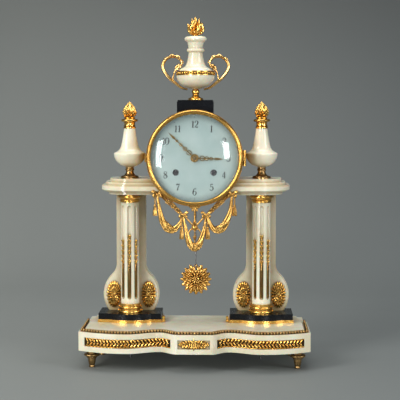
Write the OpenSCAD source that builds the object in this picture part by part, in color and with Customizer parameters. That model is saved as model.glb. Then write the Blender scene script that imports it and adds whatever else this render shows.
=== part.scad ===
// Portico mantel clock of white marble, black marble and gilt bronze, with a striking
// round-plate movement and a rosette pendulum. Millimetres, +Z up, front towards -Y,
// origin on the table under the middle of the base.

/* [Base] */
// Width of the base block
base_w = 362; // [350:1:380]
// Depth of the base block
base_d = 152; // [146:1:160]
// Height of the base block
base_h = 30; // [26:0.5:36]
// Height of the plateau inside the bead moulding
plateau_h = 4; // [3:0.5:5]
// Half width of the flat centre of the front
centre_half_w = 27; // [25:0.5:29]
// Distance of the waists of the front from the middle
waist_x = 53; // [50:0.5:57]
// How far the waists lie behind the centre
waist_set_back = 17.5; // [12:0.5:19]
// Distance of the side bulges from the middle
bulge_x = 104; // [98:1:110]
// How far the side bulges lie behind the centre
bulge_set_back = 1.5; // [1:0.5:6]
// How far the front corners lie behind the centre
corner_set_back = 24; // [16:1:28]
// Step by which the rear of each side is drawn in
rear_step = 5.5; // [3:0.5:8]
// Distance of that step from the back
rear_step_y = 40; // [32:1:44]
// Height of the sunk panels of the front
panel_h = 14; // [11:0.5:16]
// Depth of the sunk panels
panel_depth = 2.5; // [1.5:0.25:3]
// Diameter of one bead of the moulding
bead_d = 4.2; // [3.6:0.1:5]

/* [Feet] */
// Height of the feet
foot_h = 29.5; // [26:0.5:34]
// Radius of a foot's wide disc
foot_r = 12.5; // [11:0.5:15]
// Distance of the feet from the middle
foot_x = 162; // [154:1:164]
// Distance of the front feet in front of the origin
foot_front = 36; // [30:1:40]
// Distance of the rear feet behind the origin
foot_rear = 52; // [46:1:58]

/* [Columns] */
// Distance of the columns from the middle
column_x = 106; // [104:0.5:110]
// Distance of the columns behind the origin
column_y = 17; // [14:1:18]
// Radius of a column shaft
column_r = 14.75; // [13.5:0.25:16]
// Height of a column shaft
shaft_h = 163.8; // [150:1:180]
// Number of flutes round a shaft
flute_count = 8; // [6:1:10]
// Radius of a flute
flute_r = 3.3; // [2.6:0.1:3.8]
// Height of the gilt edging under a plinth
edging_h = 4.5; // [3:0.5:6]
// Height of a black plinth
plinth_h = 9.6; // [8:0.2:13]
// Half width of a plinth
plinth_half_w = 50.5; // [49:0.5:52]
// Height of a column's base
column_base_h = 15.6; // [13:0.2:18]
// Height of a capital
capital_h = 14; // [12:0.5:17]
// Radius of a tie rod
rod_r = 2.2; // [1.8:0.1:2.4]

/* [Back panels] */
// Half width of the straight part of a back panel
panel_half_w = 24; // [21:0.5:26]
// Thickness of a back panel
panel_t = 18; // [14:0.5:20]
// Radius of the round foot of a back panel
bulb_r = 45.6; // [43:0.2:47]
// Height of the middle of that foot above the plinth
bulb_rise = 26.4; // [24:0.2:30]

/* [Caps and vases] */
// Height of the marble cap over a column
cap_h = 24.8; // [22:0.4:28]
// Radius of the widest moulding of a cap
cap_r = 45; // [42:0.5:47]
// Height of a vase's gilt foot
vase_foot_h = 17.3; // [15:0.5:20]
// Radius of a vase's bowl
vase_r = 25.5; // [22:0.5:28]
// Height of a vase's marble body
vase_h = 62.5; // [58:0.5:68]
// Height of a pinecone with its collar
pinecone_h = 40.7; // [36:0.5:46]

/* [Drum] */
// Height of the middle of the dial
drum_z = 330; // [328:0.5:332]
// Radius of the drum
drum_r = 72; // [71:0.5:73]
// Wall of the drum
drum_wall = 2; // [1.5:0.25:2.5]
// Distance of the drum's front edge in front of the origin
drum_front = 28.5; // [28:0.5:31]
// Distance of the drum's back edge behind the origin
drum_back = 70; // [66:0.5:71]
// How far the bezel reaches past the drum
bezel_lip = 4; // [3:0.5:6]
// Width of the bezel's ring
bezel_w = 7.5; // [7:0.25:9]
// Depth of the bezel
bezel_d = 11; // [9:0.5:12]
// Width of the black block on the drum
block_w = 57.7; // [52:0.5:64]
// Height of the block's top above the middle of the dial
block_rise = 91; // [88:0.5:95]

/* [Urn] */
// Height of the urn's gilt foot
urn_foot_h = 17.5; // [15:0.5:20]
// Radius of the urn's bowl
urn_r = 31; // [28:0.5:34]
// Height of the bowl
urn_bowl_h = 22; // [20:0.5:25]
// Height of the bead ring
urn_ring_h = 6.5; // [5.5:0.25:8]
// Height of the lid with its neck
urn_lid_h = 55.5; // [50:0.5:60]
// Height of the flame
flame_h = 31.5; // [28:0.5:36]

/* [Hidden] */
clear = 0.08;
seat = 0.1;
rod_hole_r = rod_r + 0.4;
z_base = foot_h;
z_ledge = z_base + base_h;
z_top = z_ledge + plateau_h;
z_plinth = z_top + edging_h;
z_panel = z_plinth + plinth_h;
z_shaft = z_panel + column_base_h;
z_capital = z_shaft + shaft_h;
z_cap = z_capital + capital_h;
z_vase = z_cap + cap_h;
z_bowl = z_vase + vase_foot_h;
z_cone = z_bowl + vase_h;
z_block = drum_z + block_rise;
z_urn = z_block + urn_foot_h;
z_ring = z_urn + urn_bowl_h;
z_lid = z_ring + urn_ring_h;
z_flame = z_lid + urn_lid_h;
front_y = -base_d / 2;
back_y = base_d / 2;
panel_y = column_y + column_r + 6.3;
bezel_r = drum_r + bezel_lip;
dial_r = bezel_r - bezel_w;
fine = 72;

// Half cosine from a to b as t goes from 0 to 1.
function ease(a, b, t) = a + (b - a) * (1 - cos(180 * t)) / 2;

// Distance of the front face behind the flat centre, at x from the middle.
function set_back(x) = let (ax = abs(x))
    ax < centre_half_w ? 0
    : ax < waist_x ? ease(0, waist_set_back, (ax - centre_half_w) / (waist_x - centre_half_w))
    : ax < bulge_x ? ease(waist_set_back, bulge_set_back, (ax - waist_x) / (bulge_x - waist_x))
    : bulge_set_back + (corner_set_back - bulge_set_back)
      * pow((ax - bulge_x) / (base_w / 2 - bulge_x), 2);

// Points of the front from x0 to x1, moved back by d.
function front_points(x0, x1, n, d = 0) =
    [for (i = [0:n]) let (x = x0 + (x1 - x0) * i / n) [x, front_y + set_back(x) + d]];

module both_sides() {
    children();
    mirror([1, 0, 0]) children();
}

module at_columns() {
    both_sides() translate([column_x, column_y, 0]) children();
}

module ring_profile(r, z, bead) {
    translate([r - bead, z]) circle(r = bead, $fn = 32);
}

// Plan of the base block, with its stepped rear.
function base_plan() = let (hw = base_w / 2, y = back_y - rear_step_y, r = rear_step)
    concat(
        front_points(-hw, hw, 120),
        [[hw, y]],
        [for (a = [15:15:90]) [hw - r * sin(a), y + r * (1 - cos(a))]],
        [[hw - r, back_y], [-hw + r, back_y]],
        [for (a = [90:-15:15]) [-hw + r * sin(a), y + r * (1 - cos(a))]],
        [[-hw, y]]);

module base_inset(d) {
    offset(delta = -d) polygon(base_plan());
}

module panel_plan(x0, x1, d0, d1, n) {
    polygon(concat(front_points(x0, x1, n, d0), [for (p = front_points(x1, x0, n, d1)) p]));
}

frieze_x0 = centre_half_w + 9;
frieze_x1 = base_w / 2 - 10;
panel_z = z_base + (base_h - panel_h) / 2;
frieze_steps = 24;

module foot_places() {
    both_sides() {
        translate([foot_x, -foot_front, 0]) children();
        translate([foot_x - rear_step, foot_rear, 0]) children();
    }
}

stud_r = 3;
stud_l = 9;

module base_block() {
    color("ivory") difference() {
        union() {
            translate([0, 0, z_base]) linear_extrude(base_h) polygon(base_plan());
            translate([0, 0, z_ledge]) linear_extrude(plateau_h) base_inset(5 + bead_d + 0.9);
        }
        translate([0, 0, panel_z]) linear_extrude(panel_h) {
            panel_plan(frieze_x0, frieze_x1, -5, panel_depth, frieze_steps);
            panel_plan(-frieze_x1, -frieze_x0, -5, panel_depth, frieze_steps);
            panel_plan(-centre_half_w + 2, centre_half_w - 2, -5, panel_depth, 2);
        }
        foot_places() translate([0, 0, z_base - 1]) cylinder(r = stud_r + seat, h = stud_l + 2, $fn = fine);
        at_columns() translate([0, 0, z_base - 1])
            cylinder(r = rod_hole_r, h = base_h + plateau_h + 2, $fn = fine);
    }
}

// Bead places, spaced evenly along the front and the straight sides.
bead_in = 5 + bead_d / 2;
function slope(x) = set_back(x + 0.25) * 2 - set_back(x - 0.25) * 2;
function inner_point(x, d) = let (s = slope(x), n = sqrt(1 + s * s))
    [x - d * s / n, front_y + set_back(x) + d / n];
bead_x = base_w / 2 - bead_in;
bead_y0 = front_y + corner_set_back + bead_in;
bead_y1 = back_y - rear_step_y - 2;
function running(p, i = 1, acc = [0]) = i == len(p) ? acc
    : running(p, i + 1, concat(acc, [acc[i - 1] + norm(p[i] - p[i - 1])]));
bead_path = concat(
    [for (x = [0:1:bead_x - 1]) inner_point(x, bead_in)],
    [[bead_x, bead_y0], [bead_x, bead_y1]]);
bead_run = running(bead_path);
bead_total = bead_run[len(bead_run) - 1];
bead_pitch = bead_total / round(bead_total / (bead_d * 1.06));
bead_xs = [for (i = [0:len(bead_path) - 1]) [bead_run[i], bead_path[i][0]]];
bead_ys = [for (i = [0:len(bead_path) - 1]) [bead_run[i], bead_path[i][1]]];

module base_bead_moulding() {
    strip_h = bead_d / 2 + 0.05;
    color("peru") both_sides() union() {
        translate([0, 0, z_ledge]) linear_extrude(strip_h) intersection() {
            difference() {
                base_inset(5.2);
                base_inset(4.8 + bead_d);
            }
            translate([0, front_y]) square([base_w, back_y - rear_step_y - front_y]);
        }
        for (i = [1:round(bead_total / bead_pitch)]) let (s = (i - 0.5) * bead_pitch)
            translate([lookup(s, bead_xs), lookup(s, bead_ys), z_ledge + strip_h])
                sphere(d = bead_d, $fn = 24);
    }
}

// Interlaced leaf strip in each sunk side panel of the front.
module frieze_rings() {
    ring_r = (panel_h - 2) / 2;
    pitch = ring_r * 1.42;
    n = floor((frieze_x1 - frieze_x0 - 2 * ring_r - 2) / pitch);
    mid = (frieze_x0 + frieze_x1) / 2;
    for (i = [0:n]) let (x = mid + (i - n / 2) * pitch)
        translate([x, front_y + set_back(x) + panel_depth - 0.2, panel_z + panel_h / 2])
            rotate([90, 0, atan(slope(x))]) difference() {
                cylinder(r = ring_r, h = i % 2 == 0 ? 1.6 : 1.2, $fn = 36);
                translate([0, 0, -1]) cylinder(r = ring_r - 1.5, h = 4, $fn = 36);
            }
}

module friezes() {
    color("goldenrod") both_sides() intersection() {
        union() {
            translate([0, 0, panel_z + 0.3]) linear_extrude(panel_h - 0.6)
                panel_plan(frieze_x0 + 0.3, frieze_x1 - 0.3, panel_depth - 0.8, panel_depth, frieze_steps);
            for (z = [panel_z + 0.3, panel_z + panel_h - 1.5]) translate([0, 0, z])
                linear_extrude(1.2)
                    panel_plan(frieze_x0 + 0.3, frieze_x1 - 0.3, panel_depth - 2, panel_depth, frieze_steps);
            frieze_rings();
        }
        translate([0, 0, panel_z]) linear_extrude(panel_h)
            panel_plan(frieze_x0, frieze_x1, -2, panel_depth, frieze_steps);
    }
}

// Flower with four leaves a side, in the sunk panel of the centre.
module base_medallion() {
    color("gold") translate([0, front_y + panel_depth, z_base + base_h / 2]) rotate([90, 0, 0]) union() {
        linear_extrude(0.8) polygon([for (a = [0:6:354])
            [(centre_half_w - 4) * cos(a), (panel_h / 2 - 1) * sin(a) * (0.8 + 0.2 * abs(cos(2 * a)))]]);
        cylinder(r = 3, h = 2.4, $fn = 36);
        for (i = [0:7]) rotate([0, 0, i * 45]) translate([3.6, 0, 0])
            cylinder(r1 = 2, r2 = 1.2, h = 1.9, $fn = 24);
        both_sides() for (i = [0:3]) translate([9.5 + i * 3.4, (i % 2 - 0.5) * 3.2, 0])
            cylinder(r1 = 2.5 - i * 0.4, r2 = 1.2, h = 1.9 - i * 0.25, $fn = 24);
    }
}

collar_z = 20.2;
collar_bead = 2.3;

module foot() {
    rotate_extrude($fn = fine) difference() {
        union() {
            polygon([[0, 0], [4.3, 0], [4.8, 1.6], [4.4, 3.4], [5.2, 6], [6, 10.5], [6.2, 14],
                [6.2, collar_z], [8, collar_z], [8, foot_h], [stud_r, foot_h],
                [stud_r, foot_h + stud_l], [0, foot_h + stud_l]]);
            translate([0, collar_z - collar_bead]) square([foot_r - collar_bead, 2 * collar_bead]);
            ring_profile(foot_r, collar_z, collar_bead);
            ring_profile(8, collar_z - 4, 1.4);
        }
        translate([-20, -1]) square([20, 60]);
    }
}

module feet() {
    color("goldenrod") foot_places() foot();
}

rod_low = 3;
nut_r = 5;
nut_h = 4;
washer_h = 1.2;

module tie_rods() {
    color("dimgray") at_columns() {
        translate([0, 0, rod_low]) cylinder(r = rod_r, h = z_cone + 6 - rod_low, $fn = fine);
        translate([0, 0, z_base - washer_h]) difference() {
            cylinder(r = nut_r + 1.5, h = washer_h, $fn = fine);
            translate([0, 0, -1]) cylinder(r = rod_r, h = washer_h + 2, $fn = fine);
        }
        translate([0, 0, z_base - washer_h - nut_h]) difference() {
            cylinder(r = nut_r, h = nut_h, $fn = 6);
            translate([0, 0, -1]) cylinder(r = rod_r, h = nut_h + 2, $fn = fine);
        }
    }
}

// Plinth plan: a slab with a bowed middle in front, grown by g on every side but the back.
plinth_front = column_y - 12;
plinth_back = column_y + 42;
bow_half_w = 34.5;
bow_rise = 10;
bow_r = (pow(bow_half_w, 2) + pow(bow_rise, 2)) / (2 * bow_rise);

module plinth_plan(g) {
    translate([-plinth_half_w - g, plinth_front - column_y - g])
        square([2 * (plinth_half_w + g), plinth_back - plinth_front + g]);
    intersection() {
        translate([0, plinth_front - column_y - bow_rise + bow_r]) circle(r = bow_r + g, $fn = 180);
        translate([-bow_half_w - g, plinth_front - column_y - bow_rise - g - 1])
            square([2 * (bow_half_w + g), bow_rise + g + 2]);
    }
}

module rod_hole(z, h) {
    translate([0, 0, z - 1]) cylinder(r = rod_hole_r, h = h + 2, $fn = fine);
}

module plinth_edgings() {
    color("goldenrod") at_columns() difference() {
        union() {
            translate([0, 0, z_top]) linear_extrude(edging_h - 1.6) plinth_plan(1.2);
            translate([0, 0, z_plinth - 1.6]) linear_extrude(1.6) plinth_plan(0.4);
        }
        rod_hole(z_top, edging_h);
    }
}

module plinths() {
    color("#14161a") at_columns() difference() {
        translate([0, 0, z_plinth]) linear_extrude(plinth_h) plinth_plan(0);
        rod_hole(z_plinth, plinth_h);
    }
}

// Small scroll that stands on the plateau against the inner end of each plinth.
module plinth_scrolls() {
    r = 2.7;
    color("gold") both_sides() translate([column_x - plinth_half_w - 1.2 - r - seat, plinth_front + 6, z_top]) {
        translate([0, 3, r]) rotate([90, 0, 0]) cylinder(r = r, h = 6, $fn = 36);
        translate([-0.4, 3, 2 * r + 2.2]) rotate([90, 0, 0]) cylinder(r = 2, h = 6, $fn = 36);
        translate([-1.2, -3, r]) cube([2.4, 6, r + 2]);
    }
}

// Outline of a back panel: a straight upright that flares into a round foot.
module back_panel_plan(inset) {
    hw = panel_half_w - inset;
    r = bulb_r - inset;
    zc = z_panel + bulb_rise;
    rise = 50;
    fr = (pow(hw, 2) + pow(rise, 2) - pow(r, 2)) / (2 * (r - hw));
    top = z_cap - inset;
    difference() {
        union() {
            translate([-hw, zc]) square([2 * hw, top - zc]);
            translate([0, zc]) circle(r = r, $fn = 144);
            polygon([[-hw - fr, zc + rise], [0, zc], [hw + fr, zc + rise]]);
        }
        for (side = [-1, 1]) translate([side * (hw + fr), zc + rise]) circle(r = fr, $fn = 144);
        translate([-200, z_panel - 200]) square([400, 200]);
    }
}

panel_step = 1.5;

module back_panel() {
    translate([0, panel_y + panel_t, 0]) rotate([90, 0, 0]) {
        translate([0, 0, panel_step]) linear_extrude(panel_t - 2 * panel_step) back_panel_plan(0);
        linear_extrude(panel_t) back_panel_plan(panel_step);
    }
}

module back_panel_left() {
    color("ivory") translate([-column_x, 0, 0]) back_panel();
}

module back_panel_right() {
    color("ivory") translate([column_x, 0, 0]) back_panel();
}

// Oval of radiating petals, standing on the front of a panel's round foot.
rosette_w = 24;
rosette_h = 42;

module rosette_layer(k, n, h, dip) {
    linear_extrude(h) polygon([for (i = [0:n * 4 - 1])
        let (a = i * 90 / n, f = k * (1 - dip * (1 + cos(a * n)) / 2))
        [f * rosette_w / 2 * cos(a), f * rosette_h / 2 * sin(a)]]);
}

module rosette() {
    union() {
        rosette_layer(0.94, 20, 1.4, 0);
        rosette_layer(1, 20, 2.2, 0.16);
        rosette_layer(0.62, 16, 3.2, 0.2);
        rosette_layer(0.34, 10, 4, 0.22);
        translate([0, 0, 3.4]) sphere(r = 2.4, $fn = 36);
    }
}

module panel_rosettes() {
    color("goldenrod") both_sides() for (side = [-1, 1])
        translate([column_x + side * 28.5, panel_y, z_panel + bulb_rise]) rotate([90, 0, 0]) rosette();
}

module column_bases() {
    color("goldenrod") at_columns() translate([0, 0, z_panel]) difference() {
        rotate_extrude($fn = fine) {
            square([16.6, column_base_h]);
            square([19, 1.2]);
            ring_profile(20.4, 3.4, 2.6);
            square([17.8, 6.6]);
            ring_profile(19, 10, 2.2);
            square([17, 12.4]);
        }
        rod_hole(0, column_base_h);
    }
}

flute_low = 11;
flute_high = 8;

module column_shaft() {
    difference() {
        translate([0, 0, z_shaft]) cylinder(r = column_r, h = shaft_h, $fn = fine);
        for (i = [0:flute_count - 1]) rotate([0, 0, -90 + i * 360 / flute_count])
            translate([column_r + 0.6, 0, 0]) {
                translate([0, 0, z_shaft + flute_low])
                    cylinder(r = flute_r, h = shaft_h - flute_low - flute_high, $fn = fine);
                translate([0, 0, z_shaft + flute_low]) sphere(r = flute_r, $fn = fine);
                translate([0, 0, z_capital - flute_high]) sphere(r = flute_r, $fn = fine);
            }
        rod_hole(z_shaft, shaft_h);
    }
}

module column_left() {
    color("ivory") translate([-column_x, column_y, 0]) column_shaft();
}

module column_right() {
    color("ivory") translate([column_x, column_y, 0]) column_shaft();
}

// Gilt rod and chain of husks that fill the lower part of the three front flutes.
husk_h = 8.2;
chain_low = 54;

husk_r = flute_r - 0.7;

module husk_chain(count) {
    rotate_extrude($fn = 36) union() {
        square([husk_r - 0.5, chain_low - 1]);
        for (i = [0:count - 1]) translate([0, chain_low - 1.2 + i * husk_h])
            polygon([[0, 0], [0.9, 0], [husk_r, 4.6], [husk_r - 0.5, 6.6], [0.9, husk_h], [0, husk_h]]);
    }
}

module flute_husks() {
    color("gold") at_columns() for (a = [-45, 0, 45]) rotate([0, 0, a])
        translate([0, -column_r - 0.6 + flute_r - husk_r, z_shaft + flute_low])
            husk_chain(a == 0 ? 6 : 5);
}

module capitals() {
    color("goldenrod") at_columns() translate([0, 0, z_capital]) difference() {
        rotate_extrude($fn = fine) {
            square([15.6, 2]);
            ring_profile(16.6, 3, 1.2);
            polygon([[0, 2], [15.2, 2], [15.6, 4.4], [17.4, 7], [18.4, 8], [19.7, 8.4],
                [19.7, 10.4], [12.6, 10.4], [12.6, capital_h], [0, capital_h]]);
        }
        rod_hole(0, capital_h);
    }
}

// Plan of one cap tier of radius r, reaching inwards to the drum.
cap_back = 44;

module cap_plan(r) {
    circle(r = r, $fn = 144);
    translate([0, -r]) square([column_x, r + cap_back]);
    translate([-r, 0]) square([r + 1, cap_back * r / cap_r]);
    translate([0, -r]) square([column_x, 2 * r]);
}

module cap_tier(r, z, h) {
    translate([0, 0, z_cap + z]) linear_extrude(h) cap_plan(r);
}

module cap() {
    difference() {
        intersection() {
            union() {
                cap_tier(cap_r * 0.75, 0, 4.4);
                cap_tier(cap_r * 0.87, 4.4, 1.6);
                cap_tier(cap_r * 0.96, 6, 1.2);
                cap_tier(cap_r, 7.2, 6.4);
                cap_tier(cap_r * 0.96, 13.6, 1.2);
                cap_tier(cap_r * 0.845, 14.8, 4.6);
                cap_tier(cap_r * 0.7, 19.4, cap_h - 19.4);
            }
            translate([-100, -100, z_cap]) cube([100 + column_x - 20, 200, cap_h]);
        }
        rod_hole(z_cap, cap_h);
        translate([column_x, 0, drum_z]) rotate([90, 0, 0])
            cylinder(r = drum_r + seat, h = 400, center = true, $fn = 180);
    }
}

module cap_left() {
    color("ivory") translate([-column_x, column_y, 0]) cap();
}

module cap_right() {
    color("ivory") mirror([1, 0, 0]) translate([-column_x, column_y, 0]) cap();
}

module vase_feet() {
    color("goldenrod") at_columns() translate([0, 0, z_vase]) difference() {
        rotate_extrude($fn = fine) {
            square([14.9, 1.8]);
            ring_profile(14, 2.6, 1.2);
            difference() {
                square([12.8, vase_foot_h - 1.6]);
                translate([14.6, 11.6]) circle(r = 8.6, $fn = 64);
                translate([8, 12]) square([8, 8]);
            }
            translate([0, vase_foot_h - 3.2]) square([6.4, 3.2]);
            ring_profile(7.4, vase_foot_h - 4, 1.4);
        }
        rod_hole(0, vase_foot_h);
    }
}

module vase() {
    shoulder = 21;
    translate([0, 0, z_bowl]) difference() {
        rotate_extrude($fn = 96) difference() {
            union() {
                intersection() {
                    translate([0, 20]) circle(r = vase_r, $fn = 96);
                    square([vase_r, shoulder]);
                }
                polygon([[0, shoulder - 0.5], [vase_r - 0.3, shoulder - 0.5], [vase_r - 2.4, shoulder + 3],
                    [18.6, 27], [16, 29.4], [14.1, 34], [12.8, 39.5], [11.4, 47], [10.2, 54],
                    [9.3, vase_h - 1.2], [9.6, vase_h], [0, vase_h]]);
            }
            translate([-50, -10]) square([50, 100]);
        }
        rod_hole(0, vase_h);
    }
}

module vase_left() {
    color("ivory") translate([-column_x, column_y, 0]) vase();
}

module vase_right() {
    color("ivory") translate([column_x, column_y, 0]) vase();
}

// Radius of a pinecone at t, from 0 at its foot to 1 at its tip.
cone_r = 10.4;
function cone_at(t) = cone_r * pow(sin(180 * pow(t * 0.94 + 0.03, 0.72)), 0.75);

// Round outline of n lobes, cut in between them by a share of the radius.
module lobed(r, n, cut_in, steps = 5) {
    polygon([for (i = [0:n * steps - 1]) let (a = i * 360 / (n * steps),
        f = 1 - cut_in * (1 - sqrt(abs(cos(a * n / 2))))) [f * r * cos(a), f * r * sin(a)]]);
}

cone_tiers = 8;
cone_lobes = 9;

module pinecones() {
    collar = 16;
    tier = (pinecone_h - collar) / cone_tiers;
    color("gold") at_columns() translate([0, 0, z_cone]) difference() {
        union() {
            rotate_extrude($fn = fine) {
                square([8.6, collar]);
                square([9.9, 2]);
                ring_profile(9.9, 3.4, 1.4);
                ring_profile(9.4, 8.6, 1.2);
                translate([0, 10.5]) square([12.4, 4.4]);
                ring_profile(13.6, 12.7, 2.2);
            }
            for (k = [0:cone_tiers - 1]) let (t = (k + 0.5) / cone_tiers)
                rotate([0, 0, (k % 2) * 180 / cone_lobes]) translate([0, 0, collar + k * tier - 0.1])
                    linear_extrude(tier + 0.1) lobed(cone_at(t) + 0.4, cone_lobes, 0.28);
        }
        translate([0, 0, -1]) cylinder(r = rod_hole_r, h = 8, $fn = fine);
    }
}

// Moves a piece drawn in plan so that it stands upright: its plan's y is height above the
// middle of the dial, and it grows forwards from the given place behind the origin.
module facing(y, at = [0, 0]) {
    translate([at[0], y, drum_z + at[1]]) rotate([90, 0, 0]) children();
}

// Places that the drum, its hinges and the movement share
going_at = [29.8, -22.9];
hinge_r = 1.2;
knuckle_r = 2.2;
slot_half_w = 11;
slot_d = 14;
pend_y = 30;
bell_y = 62;

hinge_out = 2.6;
bezel_hinge = [bezel_r + hinge_out, -drum_front - 1.6];
door_r = drum_r + 1;
door_t = 2.4;
door_hinge = [-door_r - hinge_out, drum_back + 1.6];
knuckle_l = 8;

// Outer knuckles of a hinge, each on a plate and a web that reach back to the drum.
module hinge_leaves(at, y_in, y_web) {
    side = sign(at[0]);
    x = abs(at[0]);
    for (z0 = [knuckle_l / 2 + 0.2, -knuckle_l * 1.5 - 0.2]) difference() {
        translate([0, 0, drum_z + z0]) union() {
            translate([at[0], at[1], 0]) cylinder(r = knuckle_r, h = knuckle_l, $fn = fine);
            mirror([side < 0 ? 1 : 0, 0, 0]) {
                translate([x - knuckle_r, min(at[1], y_in), 0])
                    cube([knuckle_r, abs(y_in - at[1]), knuckle_l]);
                translate([drum_r - 1, min(y_web, y_in), 0]) cube([x - drum_r + 1, abs(y_in - y_web), knuckle_l]);
            }
        }
        translate([at[0], at[1], drum_z + z0 - 1]) cylinder(r = hinge_r + 0.02, h = knuckle_l + 2, $fn = fine);
    }
}

seat_ring_t = 2;

module drum_case() {
    color("goldenrod") difference() {
        union() {
            facing(drum_back) difference() {
                cylinder(r = drum_r, h = drum_back + drum_front, $fn = 180);
                translate([0, 0, -1]) cylinder(r = drum_r - drum_wall, h = 200, $fn = 180);
            }
            facing(-drum_front + 3 + seat_ring_t) difference() {
                cylinder(r = drum_r - drum_wall + 0.5, h = seat_ring_t, $fn = 180);
                translate([0, 0, -1]) cylinder(r = drum_r - 12, h = 10, $fn = 180);
            }
            hinge_leaves(bezel_hinge, -drum_front + 8, -drum_front + 0.4);
            hinge_leaves(door_hinge, drum_back - 8, drum_back - 0.4);
        }
        translate([-slot_half_w, pend_y - slot_d / 2, drum_z - drum_r - 5])
            cube([2 * slot_half_w, slot_d, 20]);
    }
}

module hinge_pins() {
    l = knuckle_l * 3 + 1.4;
    color("dimgray") for (at = [bezel_hinge, door_hinge])
        translate([at[0], at[1], drum_z - knuckle_l * 1.5 - 0.2]) cylinder(r = hinge_r, h = l, $fn = fine);
}

module top_block() {
    depth = 52;
    color("#14161a") translate([0, column_y + 4, 0]) difference() {
        union() {
            translate([-block_w / 2, -depth / 2, drum_z + 40])
                cube([block_w, depth, block_rise - 40 - 2.4]);
            translate([-block_w / 2 + 1, -depth / 2 + 1, z_block - 3])
                cube([block_w - 2, depth - 2, 3]);
        }
        translate([0, 0, drum_z]) rotate([90, 0, 0])
            cylinder(r = drum_r + seat, h = 400, center = true, $fn = 180);
        translate([0, 0, z_block - 8]) cylinder(r = stud_r + seat, h = 20, $fn = fine);
    }
}

urn_y = column_y + 4;

module urn_foot() {
    color("goldenrod") translate([0, urn_y, z_block]) rotate_extrude($fn = fine) union() {
        square([12.4, 1.4]);
        ring_profile(12, 2.2, 1);
        polygon([[0, 1], [11.2, 1], [10.4, 3.2], [6.6, 5.2], [4.6, 8], [4.1, 9.6], [0, 9.6]]);
        square([4.1, urn_foot_h]);
        difference() {
            translate([0, 12.6]) circle(r = 6.2, $fn = 64);
            translate([-20, 0]) square([20, 40]);
            translate([0, urn_foot_h]) square([20, 20]);
        }
        translate([0, -7]) square([stud_r, 8]);
    }
}

module urn_bowl() {
    steps = 24;
    color("ivory") translate([0, urn_y, z_urn]) rotate_extrude($fn = 96)
        polygon(concat([[0, 0]], [for (i = [4:steps]) let (a = 90 * i / steps)
            [urn_r * sin(a), i == 4 ? 0 : urn_bowl_h * (1 - cos(a))]], [[0, urn_bowl_h]]));
}

module urn_bead_ring() {
    beads = 44;
    r = urn_r - 0.2;
    color("goldenrod") translate([0, urn_y, z_ring]) union() {
        rotate_extrude($fn = 96) {
            square([r + 0.8, 1.5]);
            square([r - 1.6, urn_ring_h]);
            translate([0, urn_ring_h - 1.3]) square([r + 0.2, 1.3]);
        }
        for (i = [0:beads - 1]) rotate([0, 0, i * 360 / beads])
            translate([r - 1.2, 0, urn_ring_h / 2]) sphere(r = 2, $fn = 16);
    }
}

module urn_lid() {
    color("ivory") translate([0, urn_y, z_lid]) rotate_extrude($fn = 96) difference() {
        union() {
            polygon([[0, 0], [26.6, 0], [26, 2], [23.8, 4], [20.4, 6], [17.6, 7.6], [15.4, 10.6],
                [14.2, 14], [12.9, 19], [11.9, 24], [11.4, 29], [11.2, 33.6], [12, 41], [13.2, 46],
                [16, 48.4], [17.6, 50], [17.8, 52.4], [16.4, 54.6], [14.6, urn_lid_h], [0, urn_lid_h]]);
            ring_profile(14.2, 33.6, 3.4);
        }
        translate([-50, -10]) square([50, 100]);
        translate([-1, urn_lid_h - 6]) square([1 + stud_r + seat, 10]);
    }
}

// Tube of round sections between points, with a radius at each.
module chain(pts, rs, n = 7) {
    for (i = [0:len(pts) - 2]) hull() {
        translate(pts[i]) sphere(r = rs[i], $fn = n);
        translate(pts[i + 1]) sphere(r = rs[i + 1], $fn = n);
    }
}

handle_path = [[-13, -0.6], [-23, 2.6], [-34, 11], [-43, 18.5], [-50, 28], [-53, 36.5], [-50.6, 44],
    [-45, 49.6], [-37.7, 52.4], [-29.4, 50.9], [-24, 45.8], [-23, 39.6], [-27.4, 34.4], [-32.4, 30.3]];
handle_rs = [1.2, 1.6, 2, 2.1, 2.1, 2, 1.9, 1.8, 2.2, 2, 1.7, 1.5, 2, 1.6];

module urn_handles() {
    color("goldenrod") both_sides() translate([0, urn_y, z_urn]) {
        chain([for (p = handle_path) [p[0], 0, p[1]]], handle_rs);
        chain([[-32.4, 0, 30.3], [-35, 0, 24], [-36.4, 0, 13.4]], [1.6, 1.3, 1.5]);
        chain([[-31, 0, 32], [-34, 0, 35.4], [-35.8, 0, 40]], [2.2, 2, 0.7]);
    }
}

module flame_finial() {
    tongues = 7;
    color("gold") translate([0, urn_y, z_flame]) {
        translate([0, 0, -5.4]) cylinder(r = stud_r, h = 6, $fn = 24);
        cylinder(r = 4.6, h = 3, $fn = 24);
        chain([[0, 0, 4.3], [0, 0, 6], [0, 0, 12], [0, 0, 20], [0, 0, 27], [0, 0, flame_h - 0.7]],
            [4.2, 4.8, 9, 7.6, 4.4, 0.7], 12);
        for (i = [0:tongues - 1]) rotate([0, 0, i * 360 / tongues]) {
            chain([[4.2, 0, 4], [9.4, 1, 9], [9.8, 3.6, 15], [6.4, 4.6, 20.4 + (i % 3) * 1.8]],
                [1.8, 2.8, 2.2, 0.7], 6);
        }
        for (i = [0:3]) rotate([0, 0, 20 + i * 90])
            chain([[4.4, 0, 15], [5.4, 1.6, 20], [2.6, 2.4, 26.5]], [2.2, 1.9, 0.6], 6);
    }
}

// Bezel: a moulded ring with a rebate for the glass, hinged at the right.
glass_edge = 1.6;
glass_rise = 6;
lip_y = 4.3;

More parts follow.
